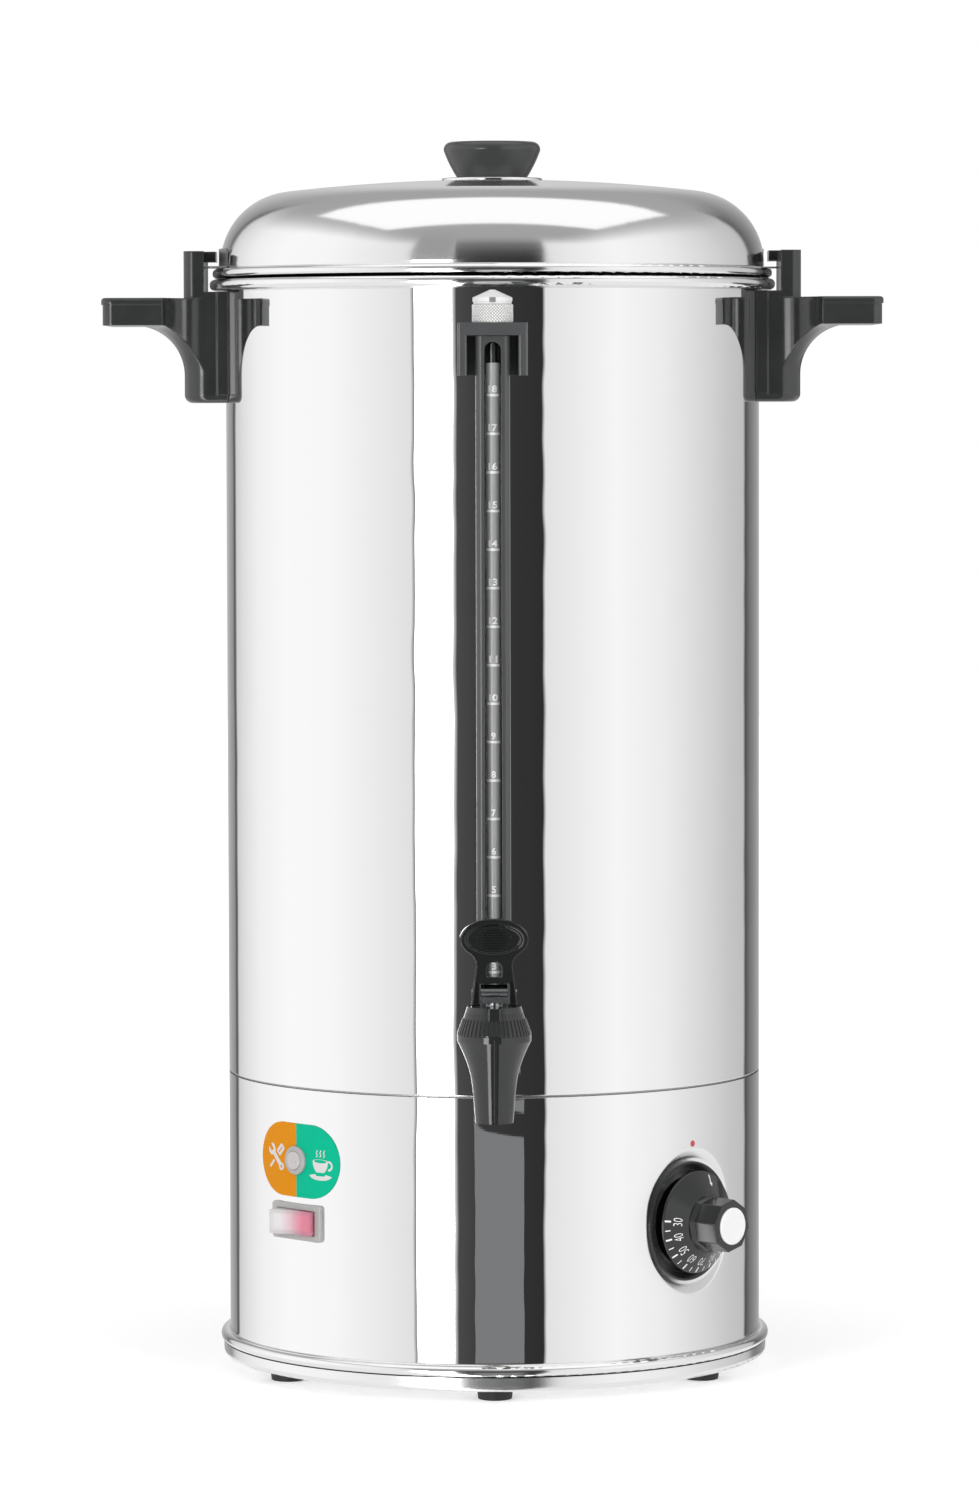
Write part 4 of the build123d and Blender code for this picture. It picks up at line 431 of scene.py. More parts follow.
FINISH = {
    # Mirror-buffed 304 sheet: sharp reflections of the room, a hint of vertical smear.
    "polished_stainless": polished_steel(
        "buffed_304_sheet", (0.004, 0.02), 0.9, 0.0006, 36, 0.2, bead_rough=0.1
    ),
    # Mill-finish 2B sheet: grey, cloudy gloss.
    "stainless_sheet": plain_metal(
        "mill_finish_304", "#B4B6B8", "#A7A9AB", (0.28, 0.4), 1.8, 0.01
    ),
    # Turned bar: bright, with tool marks finer than the eye resolves, drawn at 0.8 mm.
    "stainless_fastener": plain_metal(
        "turned_304", "#BEC0C2", "#B0B2B4", (0.16, 0.28), 0.8, 0.006
    ),
    # Bright zinc plating: a slightly blue, mottled grey.
    "zinc_steel": plain_metal(
        "zinc_plated_steel", "#C3C7CA", "#B2B7BC", (0.25, 0.4), 1.5, 0.008
    ),
    # Die-cast heat plate: matt and pebbled.
    "cast_aluminium": plain_metal(
        "die_cast_aluminium", "#A9AAAC", "#9B9C9E", (0.45, 0.6), 1.2, 0.05
    ),
    # Screen-printed label: two flat, even colours with a soft sheen.
    "printed_aluminium": two_colour_plate(),
    # Drawn capillary: warm and lightly tarnished.
    "copper_tube": plain_metal("drawn_copper", "#C47F5D", "#A9694A", (0.22, 0.38), 2.5, 0.006),
    # Element sheath that has been hot: brown-grey and dull.
    "element_sheath": plain_metal(
        "heat_tinted_sheath", "#6E6762", "#57504D", (0.4, 0.55), 3.0, 0.02
    ),
    # Compression-moulded phenolic: dark grey, satin, with a very fine pebble.
    "black_phenolic": moulded(
        "moulded_phenolic", "#333434", "#3C3D3D", (0.2, 0.3), 0.8, 0.004, 1.6, round_mm=1.0
    ),
    # Injection-moulded ABS from a polished tool: near-black and glossy.
    "black_abs": moulded(
        "moulded_gloss_abs", "#1F2020", "#262727", (0.06, 0.11), 3.0, 0.002, 1.6, round_mm=0.12
    ),
    # Moulded PBT: an even light grey with a satin sheen.
    "grey_plastic": moulded("moulded_pbt", "#B6B6B5", "#ABABAA", (0.2, 0.32), 0.8, 0.006),
    # Frosted polycarbonate over the lamp: light scatters in it, so it reads as milky grey.
    "frosted_lens": ringed_lens(),
    # Clear rocker cover over its coloured core.
    "red_rocker": rocker_tint("frosted_cover", "#FFFDFE", "#FFA6C0", 0.5),
    # Moulded polypropylene: waxy white, without sharp highlights.
    "white_plastic": moulded(
        "moulded_polypropylene", "#E4E4E3", "#DDDDDD", (0.3, 0.42), 0.8, 0.004, round_mm=0.08
    ),
    # Glazed steatite: cream, with a soft glassy shine.
    "ceramic": moulded("glazed_steatite", "#E3DFD3", "#D8D3C5", (0.2, 0.35), 1.5, 0.02),
    # Moulded rubber: black and matt.
    "black_rubber": moulded("moulded_rubber", "#1E1E1E", "#292929", (0.55, 0.7), 0.9, 0.02),
    # Moulded silicone: milky and dull.
    "silicone": moulded("moulded_silicone", "#D2CFC6", "#C7C4BA", (0.4, 0.55), 1.0, 0.01, 1.41),
    # Drawn borosilicate tube: smooth and glossy, over its milk-grey stripe.
    "clear_glass": striped_glass(),
}

# Pieces whose finish differs from the rest of their slot.
OWN_FINISH = {
    # The lid is spun and brushed, so it mirrors the room softly.
    "lid_shell": polished_steel("spun_304_lid", (0.08, 0.15), 0.7, 0.0012, 60, 0.1),
    # The pan is only brushed: it shows bright and dark as soft bands.
    "base_plate": polished_steel("brushed_304_pan", (0.16, 0.24), 0.9, 0.001, 36, 0.1),
    # Pressed tabs, left as the press made them: even grey.
    "lid_lock_tabs": plain_metal(
        "pressed_304_tabs", "#CDCECF", "#BFC0C1", (0.3, 0.4), 1.2, 0.01
    ),
    # The gauge guard is extruded and satin.
    "gauge_guard": moulded("extruded_abs", "#434445", "#4A4B4B", (0.16, 0.24), 2.0, 0.003, 1.55),
    # Its cap is moulded in a smoother tool: the same grey, with clearer reflections.
    "gauge_guard_cap": moulded(
        "satin_abs", "#48494A", "#505152", (0.07, 0.12), 2.0, 0.003, 1.6
    ),
    # Phenolic from a polished tool: black, with small sharp highlights.
    "thermostat_dial": moulded(
        "gloss_phenolic", "#1F2020", "#242525", (0.1, 0.16), 2.0, 0.001, 1.6
    ),
    # The ring behind the dial is duller and blacker than the dial.
    "thermostat_bezel": moulded(
        "gloss_phenolic_ring", "#141515", "#191A1A", (0.2, 0.28), 3.0, 0.001, 1.55
    ),
    # The handles come from a polished tool: darker than the knob, with livelier highlights.
    "left_handle": moulded(
        "polished_tool_phenolic", "#2A2B2B", "#383939", (0.11, 0.19), 0.9, 0.004, 1.62,
        round_mm=1.2,
    ),
    # Gloss ABS with wide, soft rounds: the blackest and shiniest of the plastics.
    "tap_lever": moulded(
        "lever_gloss_abs", "#101111", "#151616", (0.06, 0.1), 3.0, 0.001, 1.6, round_mm=1.5
    ),
    # The dial's cap is a bright, satin white.
    "dial_cap": moulded("white_abs", "#F6F6F6", "#F2F2F2", (0.3, 0.4), 1.0, 0.004),
}
OWN_FINISH["right_handle"] = OWN_FINISH["left_handle"]

for part in frame["record"]["subparts"]:
    node = frame["nodes"][part["node"]]
    finish = OWN_FINISH.get(part["node"], FINISH[part["material_slot"]])
    node.data.materials.clear()
    node.data.materials.append(finish)

white_ink = screen_ink("white_screen_ink", "#FCFCFC", "#F6F6F6")
red_ink = screen_ink("red_screen_ink", "#D94A57", "#CB404D")
pale_ink = screen_ink("pale_grey_screen_ink", "#E4E2E0", "#D6D4D3")

# ---------------------------------------------------------------- surfaces that pieces lie on


def on_wall(azimuth, height, radius):
    """Maps flat (x, y, lift) onto the tank's round wall, x to the right as seen from outside."""
    def place(point):
        out = out_of(azimuth + point.x / radius)
        return out * (radius + point.z) + UP * (height + point.y)
    return place


def on_tube(height, radius=TUBE_RADIUS):
    """Maps flat (x, y, lift) onto the front of the sight glass, or of a ring round its axis."""
    def place(point):
        turn = point.x / radius
        reach = radius + point.z
        return Vector((reach * sin(turn), GAUGE_Y - reach * cos(turn), height + point.y))
    return place


def dial_point(reach, angle, stand):
    """A point by its distance from the dial's axis, its angle from the right and its stand."""
    out = out_of(DIAL_AZIMUTH)
    right = out_of(DIAL_AZIMUTH + pi / 2)
    origin = out * (TANK_RADIUS - DIAL_SINK) + UP * DIAL_HEIGHT
    return origin + right * (reach * cos(angle)) + UP * (reach * sin(angle)) + out * stand


def on_cone(angle, reach):
    """Maps flat (x, y, lift) onto the dial's cone at an angle, y pointing to its rim."""
    fall = DIAL_CROWN[1] - DIAL_RIM[1]
    run = DIAL_RIM[0] - DIAL_CROWN[0]
    slope = sqrt(fall ** 2 + run ** 2)

    def place(point):
        away = reach + point.y * run / slope
        stand = DIAL_RIM[1] + (DIAL_RIM[0] - away) * fall / run
        return dial_point(
            away + point.z * fall / slope, angle - point.x / reach, stand + point.z * run / slope
        )
    return place


def printed(place, stand=0.0):
    """The same mapping, lifted by the ink's thickness so that it never lies in the surface."""
    return lambda point: place(Vector((point.x, point.y, point.z + stand + PRINT)))


# ---------------------------------------------------------------- making pieces


def finish_piece(name, mesh, material, body, smooth=False):
    """Puts a finished mesh in the scene as a piece that rides on a body."""
    mesh.validate()
    for face in mesh.polygons:
        face.use_smooth = smooth
    mesh.materials.clear()
    mesh.materials.append(material)
    piece = bpy.data.objects.new(name, mesh)
    bpy.context.scene.collection.objects.link(piece)
    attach(piece, body)
    return piece


def made(build):
    """The mesh of a finished bmesh, with its faces turned outwards."""
    bmesh.ops.recalc_face_normals(build, faces=build.faces)
    mesh = bpy.data.meshes.new("made")
    build.to_mesh(mesh)
    build.free()
    return mesh


def wrapped(target, source, place, strip):
    """Adds a flat mesh to a bmesh, cut in upright strips and wrapped onto a surface by place."""
    flat = bmesh.new()
    flat.from_mesh(source)
    cut = min(vertex.co.x for vertex in flat.verts) + strip
    while cut < max(vertex.co.x for vertex in flat.verts):
        bmesh.ops.bisect_plane(
            flat, geom=flat.verts[:] + flat.edges[:] + flat.faces[:],
            plane_co=(cut, 0, 0), plane_no=(1, 0, 0), dist=1e-7,
        )
        cut += strip
    for vertex in flat.verts:
        vertex.co = place(vertex.co)
    flat.to_mesh(source)
    flat.free()
    target.from_mesh(source)
    bpy.data.meshes.remove(source)


def filled(curve, name):
    """The closed mesh of a filled, extruded flat curve, which it uses up."""
    holder = bpy.data.objects.new(name, curve)
    bpy.context.scene.collection.objects.link(holder)
    bpy.context.view_layer.update()
    mesh = bpy.data.meshes.new_from_object(
        holder.evaluated_get(bpy.context.evaluated_depsgraph_get())
    )
    bpy.data.objects.remove(holder)
    bpy.data.curves.remove(curve)
    return mesh


def numeral(digits, height, width_each, weight):
    """Flat digits as a closed mesh of ink, centred on the origin."""
    curve = bpy.data.curves.new("numeral", "FONT")
    curve.body = digits
    curve.size = height
    curve.extrude = PRINT / 2
    curve.offset = height * weight
    curve.resolution_u = 4
    mesh = filled(curve, "numeral")
    size = (width_each * len(digits), height)
    low = [min(v.co[i] for v in mesh.vertices) for i in (0, 1)]
    high = [max(v.co[i] for v in mesh.vertices) for i in (0, 1)]
    for vertex in mesh.vertices:
        for i in (0, 1):
            middle = (low[i] + high[i]) / 2
            vertex.co[i] = (vertex.co[i] - middle) * size[i] / (high[i] - low[i])
    return mesh


def stencil(outlines):
    """Flat shapes, in millimetres, as a closed mesh. An outline inside another is a hole in it."""
    curve = bpy.data.curves.new("stencil", "CURVE")
    curve.dimensions = "2D"
    curve.fill_mode = "BOTH"
    curve.extrude = PRINT / 2
    for outline in outlines:
        spline = curve.splines.new("POLY")
        spline.points.add(len(outline) - 1)
        for point, (x, y) in zip(spline.points, outline):
            point.co = (x * MM, y * MM, 0, 1)
        spline.use_cyclic_u = True
    return filled(curve, "stencil")


def bar(width, height):
    """Outline of a bar round the origin, cut across so that it can bend."""
    steps = 12
    top = [(width * (i / steps - 0.5), height / 2) for i in range(steps + 1)]
    return top + [(x, -y) for x, y in reversed(top)]


def arc_points(centre, radius, start, end, steps=16, flat=1.0):
    """Points on an arc, in degrees; flat squeezes it along y."""
    return [
        (
            centre[0] + radius * cos(radians(start + (end - start) * i / steps)),
            centre[1] + radius * flat * sin(radians(start + (end - start) * i / steps)),
        )
        for i in range(steps + 1)
    ]


def turned(outline, angle, shift=(0, 0)):
    """An outline turned by degrees and then moved."""
    c, s = cos(radians(angle)), sin(radians(angle))
    return [(x * c - y * s + shift[0], x * s + y * c + shift[1]) for x, y in outline]


# ---------------------------------------------------------------- printed scales

# Litre scale on the sight glass: a bar for each litre with its number above it.
LITRES = range(3, 19)
LITRE_BAR = (7.6, 1.2)
LITRE_DIGIT = (3.4 * MM, 2.2 * MM, 0.03)       # height, width of each and extra weight
NUMBER_ABOVE_BAR = 2.9 * MM
GLASS_STRIP = 0.4 * MM
scale = bmesh.new()
for litre in LITRES:
    height = LITRE_ZERO + LITRE * litre
    wrapped(scale, stencil([bar(*LITRE_BAR)]), printed(on_tube(height)), GLASS_STRIP)
    number = numeral(str(litre), *LITRE_DIGIT)
    wrapped(scale, number, printed(on_tube(height + NUMBER_ABOVE_BAR)), GLASS_STRIP)
finish_piece("gauge_litre_scale", made(scale), white_ink, "urn")

# Thermostat scale: 30 to 110 degrees, a bar at each ten and a short one between.
FIRST_MARK, MARK_STEP = 173.4, 23.14            # where 30 lies, and from one ten to the next
LONG_BAR, SHORT_BAR = (0.85, 3.1), (0.5, 2.7)
DIAL_DIGIT = (4.6 * MM, 1.95 * MM, -0.012)
BAR_REACH, DIGIT_REACH, ARROW_REACH = 23.1 * MM, 18.9 * MM, 20.9 * MM
OFF_MARK = 72
OFF_ARROW = [
    (-0.35, 3.3), (0.35, 3.3), (0.35, -1.2), (1.25, -0.9), (0, -3.3), (-1.25, -0.9), (-0.35, -1.2)
]
DIAL_STRIP = 1 * MM
scale = bmesh.new()
for half_step in range(17):
    angle = radians(FIRST_MARK + MARK_STEP * half_step / 2)
    at_ten = half_step % 2 == 0
    mark = stencil([bar(*(LONG_BAR if at_ten else SHORT_BAR))])
    wrapped(scale, mark, printed(on_cone(angle, BAR_REACH)), DIAL_STRIP)
    if at_ten:
        number = numeral(str(30 + 5 * half_step), *DIAL_DIGIT)
        wrapped(scale, number, printed(on_cone(angle, DIGIT_REACH)), DIAL_STRIP)
wrapped(scale, stencil([OFF_ARROW]), printed(on_cone(radians(OFF_MARK), ARROW_REACH)), DIAL_STRIP)
finish_piece("dial_scale", made(scale), white_ink, "thermostat_dial")

# Red setting dot on the skirt, above the dial.
dot = bmesh.new()
wrapped(
    dot, stencil([arc_points((0, 0), 1.55, 0, 345, 23)]),
    printed(on_wall(DIAL_AZIMUTH, DOT_HEIGHT, TANK_RADIUS)), 1 * MM,
)
finish_piece("setting_dot", made(dot), red_ink, "urn")

# ---------------------------------------------------------------- signs on the label


def label_sign(name, shapes, shift):
    """A pale sign on the label, made of flat shapes and moved from the label's middle."""
    sign = bmesh.new()
    for outlines in shapes:
        wrapped(
            sign, stencil([turned(outline, 0, shift) for outline in outlines]),
            printed(on_wall(LABEL_AZIMUTH, LABEL_HEIGHT, LABEL_FACE)), 1.5 * MM,
        )
    finish_piece(name, made(sign), pale_ink, "urn")


# A spanner crossed over a screwdriver.
CROSSED = 44
spanner = (
    [(-1.1, 4.2), (-1.1, 7.3)]
    + arc_points((0, 4.9), 2.9, 118, 247)
    + [(-1.2, -4.6)]
    + arc_points((0, -6.1), 1.95, 141, 399)
    + [(1.2, -4.6)]
    + arc_points((0, 4.9), 2.9, -67, 62)
    + [(1.1, 7.3), (1.1, 4.2)]
)
spanner_eye = arc_points((0, -6.1), 0.75, 0, 340, 12)
driver_grip = [
    (-1.7, 2.6), (1.7, 2.6), (1.9, 3.4), (1.9, 7.6), (1.2, 8.3), (-1.2, 8.3), (-1.9, 7.6),
    (-1.9, 3.4),
]
driver_slot = [(-0.4, 3.6), (0.4, 3.6), (0.4, 7.2), (-0.4, 7.2)]
driver_blade = [(-0.65, -7.4), (0.65, -7.4), (0.65, -2.3), (-0.65, -2.3)]
label_sign(
    "sign_tools",
    [
        [turned(spanner, CROSSED), turned(spanner_eye, CROSSED)],
        [turned(driver_grip, -CROSSED), turned(driver_slot, -CROSSED)],
        [turned(driver_blade, -CROSSED)],
    ],
    (-15.6, 0.4),
)

# A steaming cup on its saucer.
cup = (
    arc_points((0, 2.4), 4.9, 180, 0, 16, 0.18)
    + arc_points((0, 2.4), 4.9, 0, -62, 10, 1.28)
    + arc_points((0, 2.4), 4.9, -118, -180, 10, 1.28)
)
cup_mouth = arc_points((0, 2.3), 4.0, 0, 345, 23, 0.2)
cup_ear = arc_points((5.3, 0.4), 2.5, -100, 100) + arc_points((5.3, 0.4), 1.5, 95, -95)
saucer = (
    arc_points((0, -4.4), 7.2, 188, 352, 20, 0.36)
    + [(3.4, -4.0), (2.6, -4.9), (-2.6, -4.9), (-3.4, -4.0)]
)
steam = [
    (-0.45, -1.9), (0.35, -0.9), (-0.35, 0.2), (0.45, 1.6), (1.05, 1.5), (0.3, 0.2), (1.0, -0.9),
    (0.25, -2.0),
]
label_sign(
    "sign_cup",
    [[cup, cup_mouth], [cup_ear], [saucer]]
    + [[turned(steam, 0, (x, 6.2))] for x in (-2.5, -0.2, 2.1)],
    (16.4, -1.6),
)

# ---------------------------------------------------------------- rocker, gauge nut and vent

# Pink core inside the clear rocker: it lies in the rocker and tilts with it.
CORE_TILT = radians(12)
CORE_DROP = 0.6
CORE_HALF = 4.1
CORE_EDGE = 0.6
core_out = out_of(LABEL_AZIMUTH)
core_right = out_of(LABEL_AZIMUTH + pi / 2)
core = bmesh.new()
rings = []
# Along the rocker in millimetres, with the height of the core's crown: high at both ends.
for along, crown in ((-10.6, 5.9), (-1.2, 3.9), (1.2, 3.9), (10.6, 5.9)):
    ring = []
    for up, stand in (
        (-CORE_HALF, -1.0), (CORE_HALF, -1.0), (CORE_HALF, crown - CORE_EDGE),
        (CORE_HALF - CORE_EDGE, crown), (CORE_EDGE - CORE_HALF, crown),
        (-CORE_HALF, crown - CORE_EDGE),
    ):
        x = along * cos(CORE_TILT) + stand * sin(CORE_TILT)
        z = stand * cos(CORE_TILT) - along * sin(CORE_TILT)
        ring.append(core.verts.new(
            core_out * (TANK_RADIUS + (z - CORE_DROP) * MM)
            + core_right * (x * MM) + UP * (SWITCH_HEIGHT + up * MM)
        ))
    rings.append(ring)
for first, second in zip(rings, rings[1:]):
    for i in range(6):
        core.faces.new((first[i], first[(i + 1) % 6], second[(i + 1) % 6], second[i]))
core.faces.new(rings[0])
core.faces.new(reversed(rings[-1]))
finish_piece(
    "rocker_core", made(core), rocker_tint("tinted_core", "#FFFAFD", "#FF4681", 0.0),
    "switch_rocker",
)

# Gauge nut with a diamond knurl, moulded from a knurled tool.
nut_low, nut_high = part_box("gauge_nut")
nut_height = nut_high.z - nut_low.z
NUT_EDGE, NUT_BORE = 0.5 * MM, 3.9 * MM
KNURL_DEPTH = 0.45 * MM
KNURL_AROUND, KNURL_UP = 40, 6                  # diamonds round the nut and up it
KNURL_STEPS, ROWS = 6, 36
COLUMNS = KNURL_AROUND * KNURL_STEPS


def knurl_radius(column, rise):
    """The nut's radius where two sets of slanting grooves cross and leave diamonds."""
    pitch = rise / (nut_height / KNURL_UP)
    left = abs(((column / KNURL_STEPS + pitch) % 1) - 0.5) * 2
    right = abs(((column / KNURL_STEPS - pitch) % 1) - 0.5) * 2
    return NUT_RADIUS - KNURL_DEPTH * (1 - min(1, left * right * 2.2))


# Rings of the nut as (radius, rise), from its bore round its outside and back; None is knurled.
profile = [(NUT_BORE, 0.0), (NUT_RADIUS - NUT_EDGE, 0.0)]
profile += [(None, NUT_EDGE + (nut_height - 2 * NUT_EDGE) * i / ROWS) for i in range(ROWS + 1)]
profile += [(NUT_RADIUS - NUT_EDGE, nut_height), (NUT_BORE, nut_height)]
nut = bmesh.new()
rings = []
for reach, rise in profile:
    ring = []
    for i in range(COLUMNS):
        turn = 2 * pi * i / COLUMNS
        radius = reach or knurl_radius(i, rise)
        ring.append(nut.verts.new(
            (radius * sin(turn), GAUGE_Y - radius * cos(turn), nut_low.z + rise)
        ))
    rings.append(ring)
for first, second in zip(rings, rings[1:] + rings[:1]):
    for i in range(COLUMNS):
        j = (i + 1) % COLUMNS
        nut.faces.new((first[i], first[j], second[j], second[i]))
knurled = finish_piece("gauge_nut_knurled", made(nut), knurled_plastic(), "urn")
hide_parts("gauge_nut")

# Vent at the front of the vent cap: a flat grey sheet of painted shade where its slot lies, with
# three slats that stand out of it.
VENT_WIDTH = 3.0
VENT_MIDDLE = 1.9
vent_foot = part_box("gauge_vent_cap")[0].z
slot_shade_and_slats = bmesh.new()
for height, rise, stand in (
    (2.0, 0.0, 0.0), (0.35, 1.0, 0.12), (0.35, 0.0, 0.12), (0.35, -1.0, 0.12),
):
    place = on_tube(vent_foot + (VENT_MIDDLE + rise) * MM, VENT_RADIUS)
    wrapped(slot_shade_and_slats, stencil([bar(VENT_WIDTH, height)]), printed(place, stand * MM), 0.5 * MM)
# Mid grey: painted shade standing in for the dark of the slot.
vent_slot_shade = moulded(
    "painted_slot_shade", "#7E7F80", "#888989", (0.3, 0.4), 0.8, 0.002, round_mm=0.05
)
finish_piece("vent_slot_shade_and_slats", made(slot_shade_and_slats), vent_slot_shade, "urn")

# ---------------------------------------------------------------- details moulded in the tap

FAR_FRONT = -0.4
graph = bpy.context.evaluated_depsgraph_get()
lever_surface = BVHTree.FromObject(frame["nodes"]["tap_lever"], graph)
tap_surface = BVHTree.FromObject(frame["nodes"]["tap_body"], graph)


def front_of(surface, x, z):
    """The point and normal where a line from the front meets a surface, or None."""
    point, normal, _, _ = surface.ray_cast(Vector((x, FAR_FRONT, z)), Vector((0, 1, 0)))
    return (point, normal) if point else None


def ridge(build, points, width, height):
    """A low rounded ridge along points that lie on a surface, each with its normal."""
    section = [(-0.5, -0.4), (-0.42, 0.35), (-0.2, 0.9), (0.2, 0.9), (0.42, 0.35), (0.5, -0.4)]
    loops = []
    for i, (point, normal) in enumerate(points):
        before, after = points[max(i - 1, 0)][0], points[min(i + 1, len(points) - 1)][0]
        side = (after - before).normalized().cross(normal).normalized()
        loops.append([
            build.verts.new(point + side * (across * width) + normal * (stand * height))
            for across, stand in section
        ])
    for first, second in zip(loops, loops[1:]):
        for i in range(len(section)):
            j = (i + 1) % len(section)
            build.faces.new((first[i], first[j], second[j], second[i]))
    build.faces.new(loops[0])
    build.faces.new(reversed(loops[-1]))


# Grip pattern in the thumb rest: fine bars in an oval, with pips round them.
BAR_PITCH = 1.25 * MM
BAR_HALF = 6.4 * MM
OVAL_ROWS = 5.6                                 # half the oval's height, counted in bars
PIPS, PIP_RADIUS = 14, 0.42 * MM
PIP_OVAL = (8.3 * MM, 5.9 * MM)
rest_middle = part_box("tap_lever")[1].z - 9.9 * MM
grip = bmesh.new()
for row in range(-4, 4):
    height = rest_middle + (row + 0.5) * BAR_PITCH
    half = BAR_HALF * sqrt(1 - ((row + 0.5) / OVAL_ROWS) ** 2)
    hits = [front_of(lever_surface, half * (i / 12 - 1), height) for i in range(25)]
    ridge(grip, [hit for hit in hits if hit], 0.5 * MM, 0.22 * MM)
for i in range(PIPS):
    turn = 2 * pi * (i + 0.5) / PIPS
    hit = front_of(
        lever_surface, PIP_OVAL[0] * cos(turn), rest_middle + PIP_OVAL[1] * sin(turn)
    )
    if hit:
        pip = bmesh.ops.create_uvsphere(grip, u_segments=10, v_segments=6, radius=PIP_RADIUS)
        for vertex in pip["verts"]:
            vertex.co += hit[0]
finish_piece(
    "paddle_grip", made(grip), OWN_FINISH["tap_lever"], "tap_lever", smooth=True
)

# Parting line of the tap's mould, down the front of the spout.
LINE_FOOT, LINE_LENGTH, LINE_STEPS = 0.6, 40.4, 60
tap_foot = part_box("tap_body")[0].z
line = bmesh.new()
hits = [
    front_of(tap_surface, 0.0, tap_foot + (LINE_FOOT + LINE_LENGTH * i / LINE_STEPS) * MM)
    for i in range(LINE_STEPS + 1)
]
ridge(line, [hit for hit in hits if hit], 0.32 * MM, 0.1 * MM)
finish_piece(
    "spout_parting_line", made(line), FINISH["black_abs"], "urn", smooth=True
)

# ---------------------------------------------------------------- stage, light and camera

# What the steel mirrors, all round the urn: azimuth from the front, to the right, and its grey.
ROOM = (
    (-180, "#C8C8C8"), (-168, "#B0B0B0"), (-152.5, "#8C8C8C"),
    (-150.8, "#5A5A5A"), (-148, "#5A5A5A"), (-147, "#CACACA"), (-138, "#DCDCDC"),
    (-122, "#F0F0F0"), (-100, "#FAFAFA"), (-74, "#F8F8F8"), (-50, "#EBEBEB"),
    (-34.6, "#E1E1E1"), (-34.2, "#7C7C7C"), (-33.7, "#7C7C7C"), (-33.4, "#FFFFFF"),
    (-17.3, "#FFFFFF"), (-16.2, "#4A4A4A"), (-4, "#383838"), (21.2, "#2E2E2E"),
    (22.3, "#E3E3E3"), (54, "#F7F7F7"), (78, "#EDEDED"),
    (100, "#DADADA"), (122, "#C6C6C6"), (138.6, "#BDBDBD"), (140, "#4C4C4C"),
    (143, "#5C5C5C"), (147, "#727272"), (168, "#A3A3A3"),
    (180, "#C8C8C8"),
)
FRONT_GAP = (-16.5, 22)        # azimuths of the dark gap between the softboxes
FLOOR_LANE = (-8.5, 12.5)      # and of the paler lane on the floor in it
NARROW_SOFTBOX = (-33.5, -17.2)
STEEL_MIRRORS = 0.9            # how much of the room buffed steel gives back
LAMP_GLARE = 5.0               # how much brighter the narrow softbox is than the white walls
FILL = 0.52                    # strength of the room on surfaces that aren't glossy
WHITE = (1, 1, 1, 1)


def within_span(tree, azimuth, span):
    """1 between two azimuths in degrees, 0 elsewhere."""
    left, right = radians(span[0]), radians(span[1])
    past = add(tree, "ShaderNodeMath", {0: azimuth, 1: left}, operation="GREATER_THAN")
    short = add(tree, "ShaderNodeMath", {0: azimuth, 1: right}, operation="LESS_THAN")
    return add(tree, "ShaderNodeMath", {0: past, 1: short}, operation="MULTIPLY")


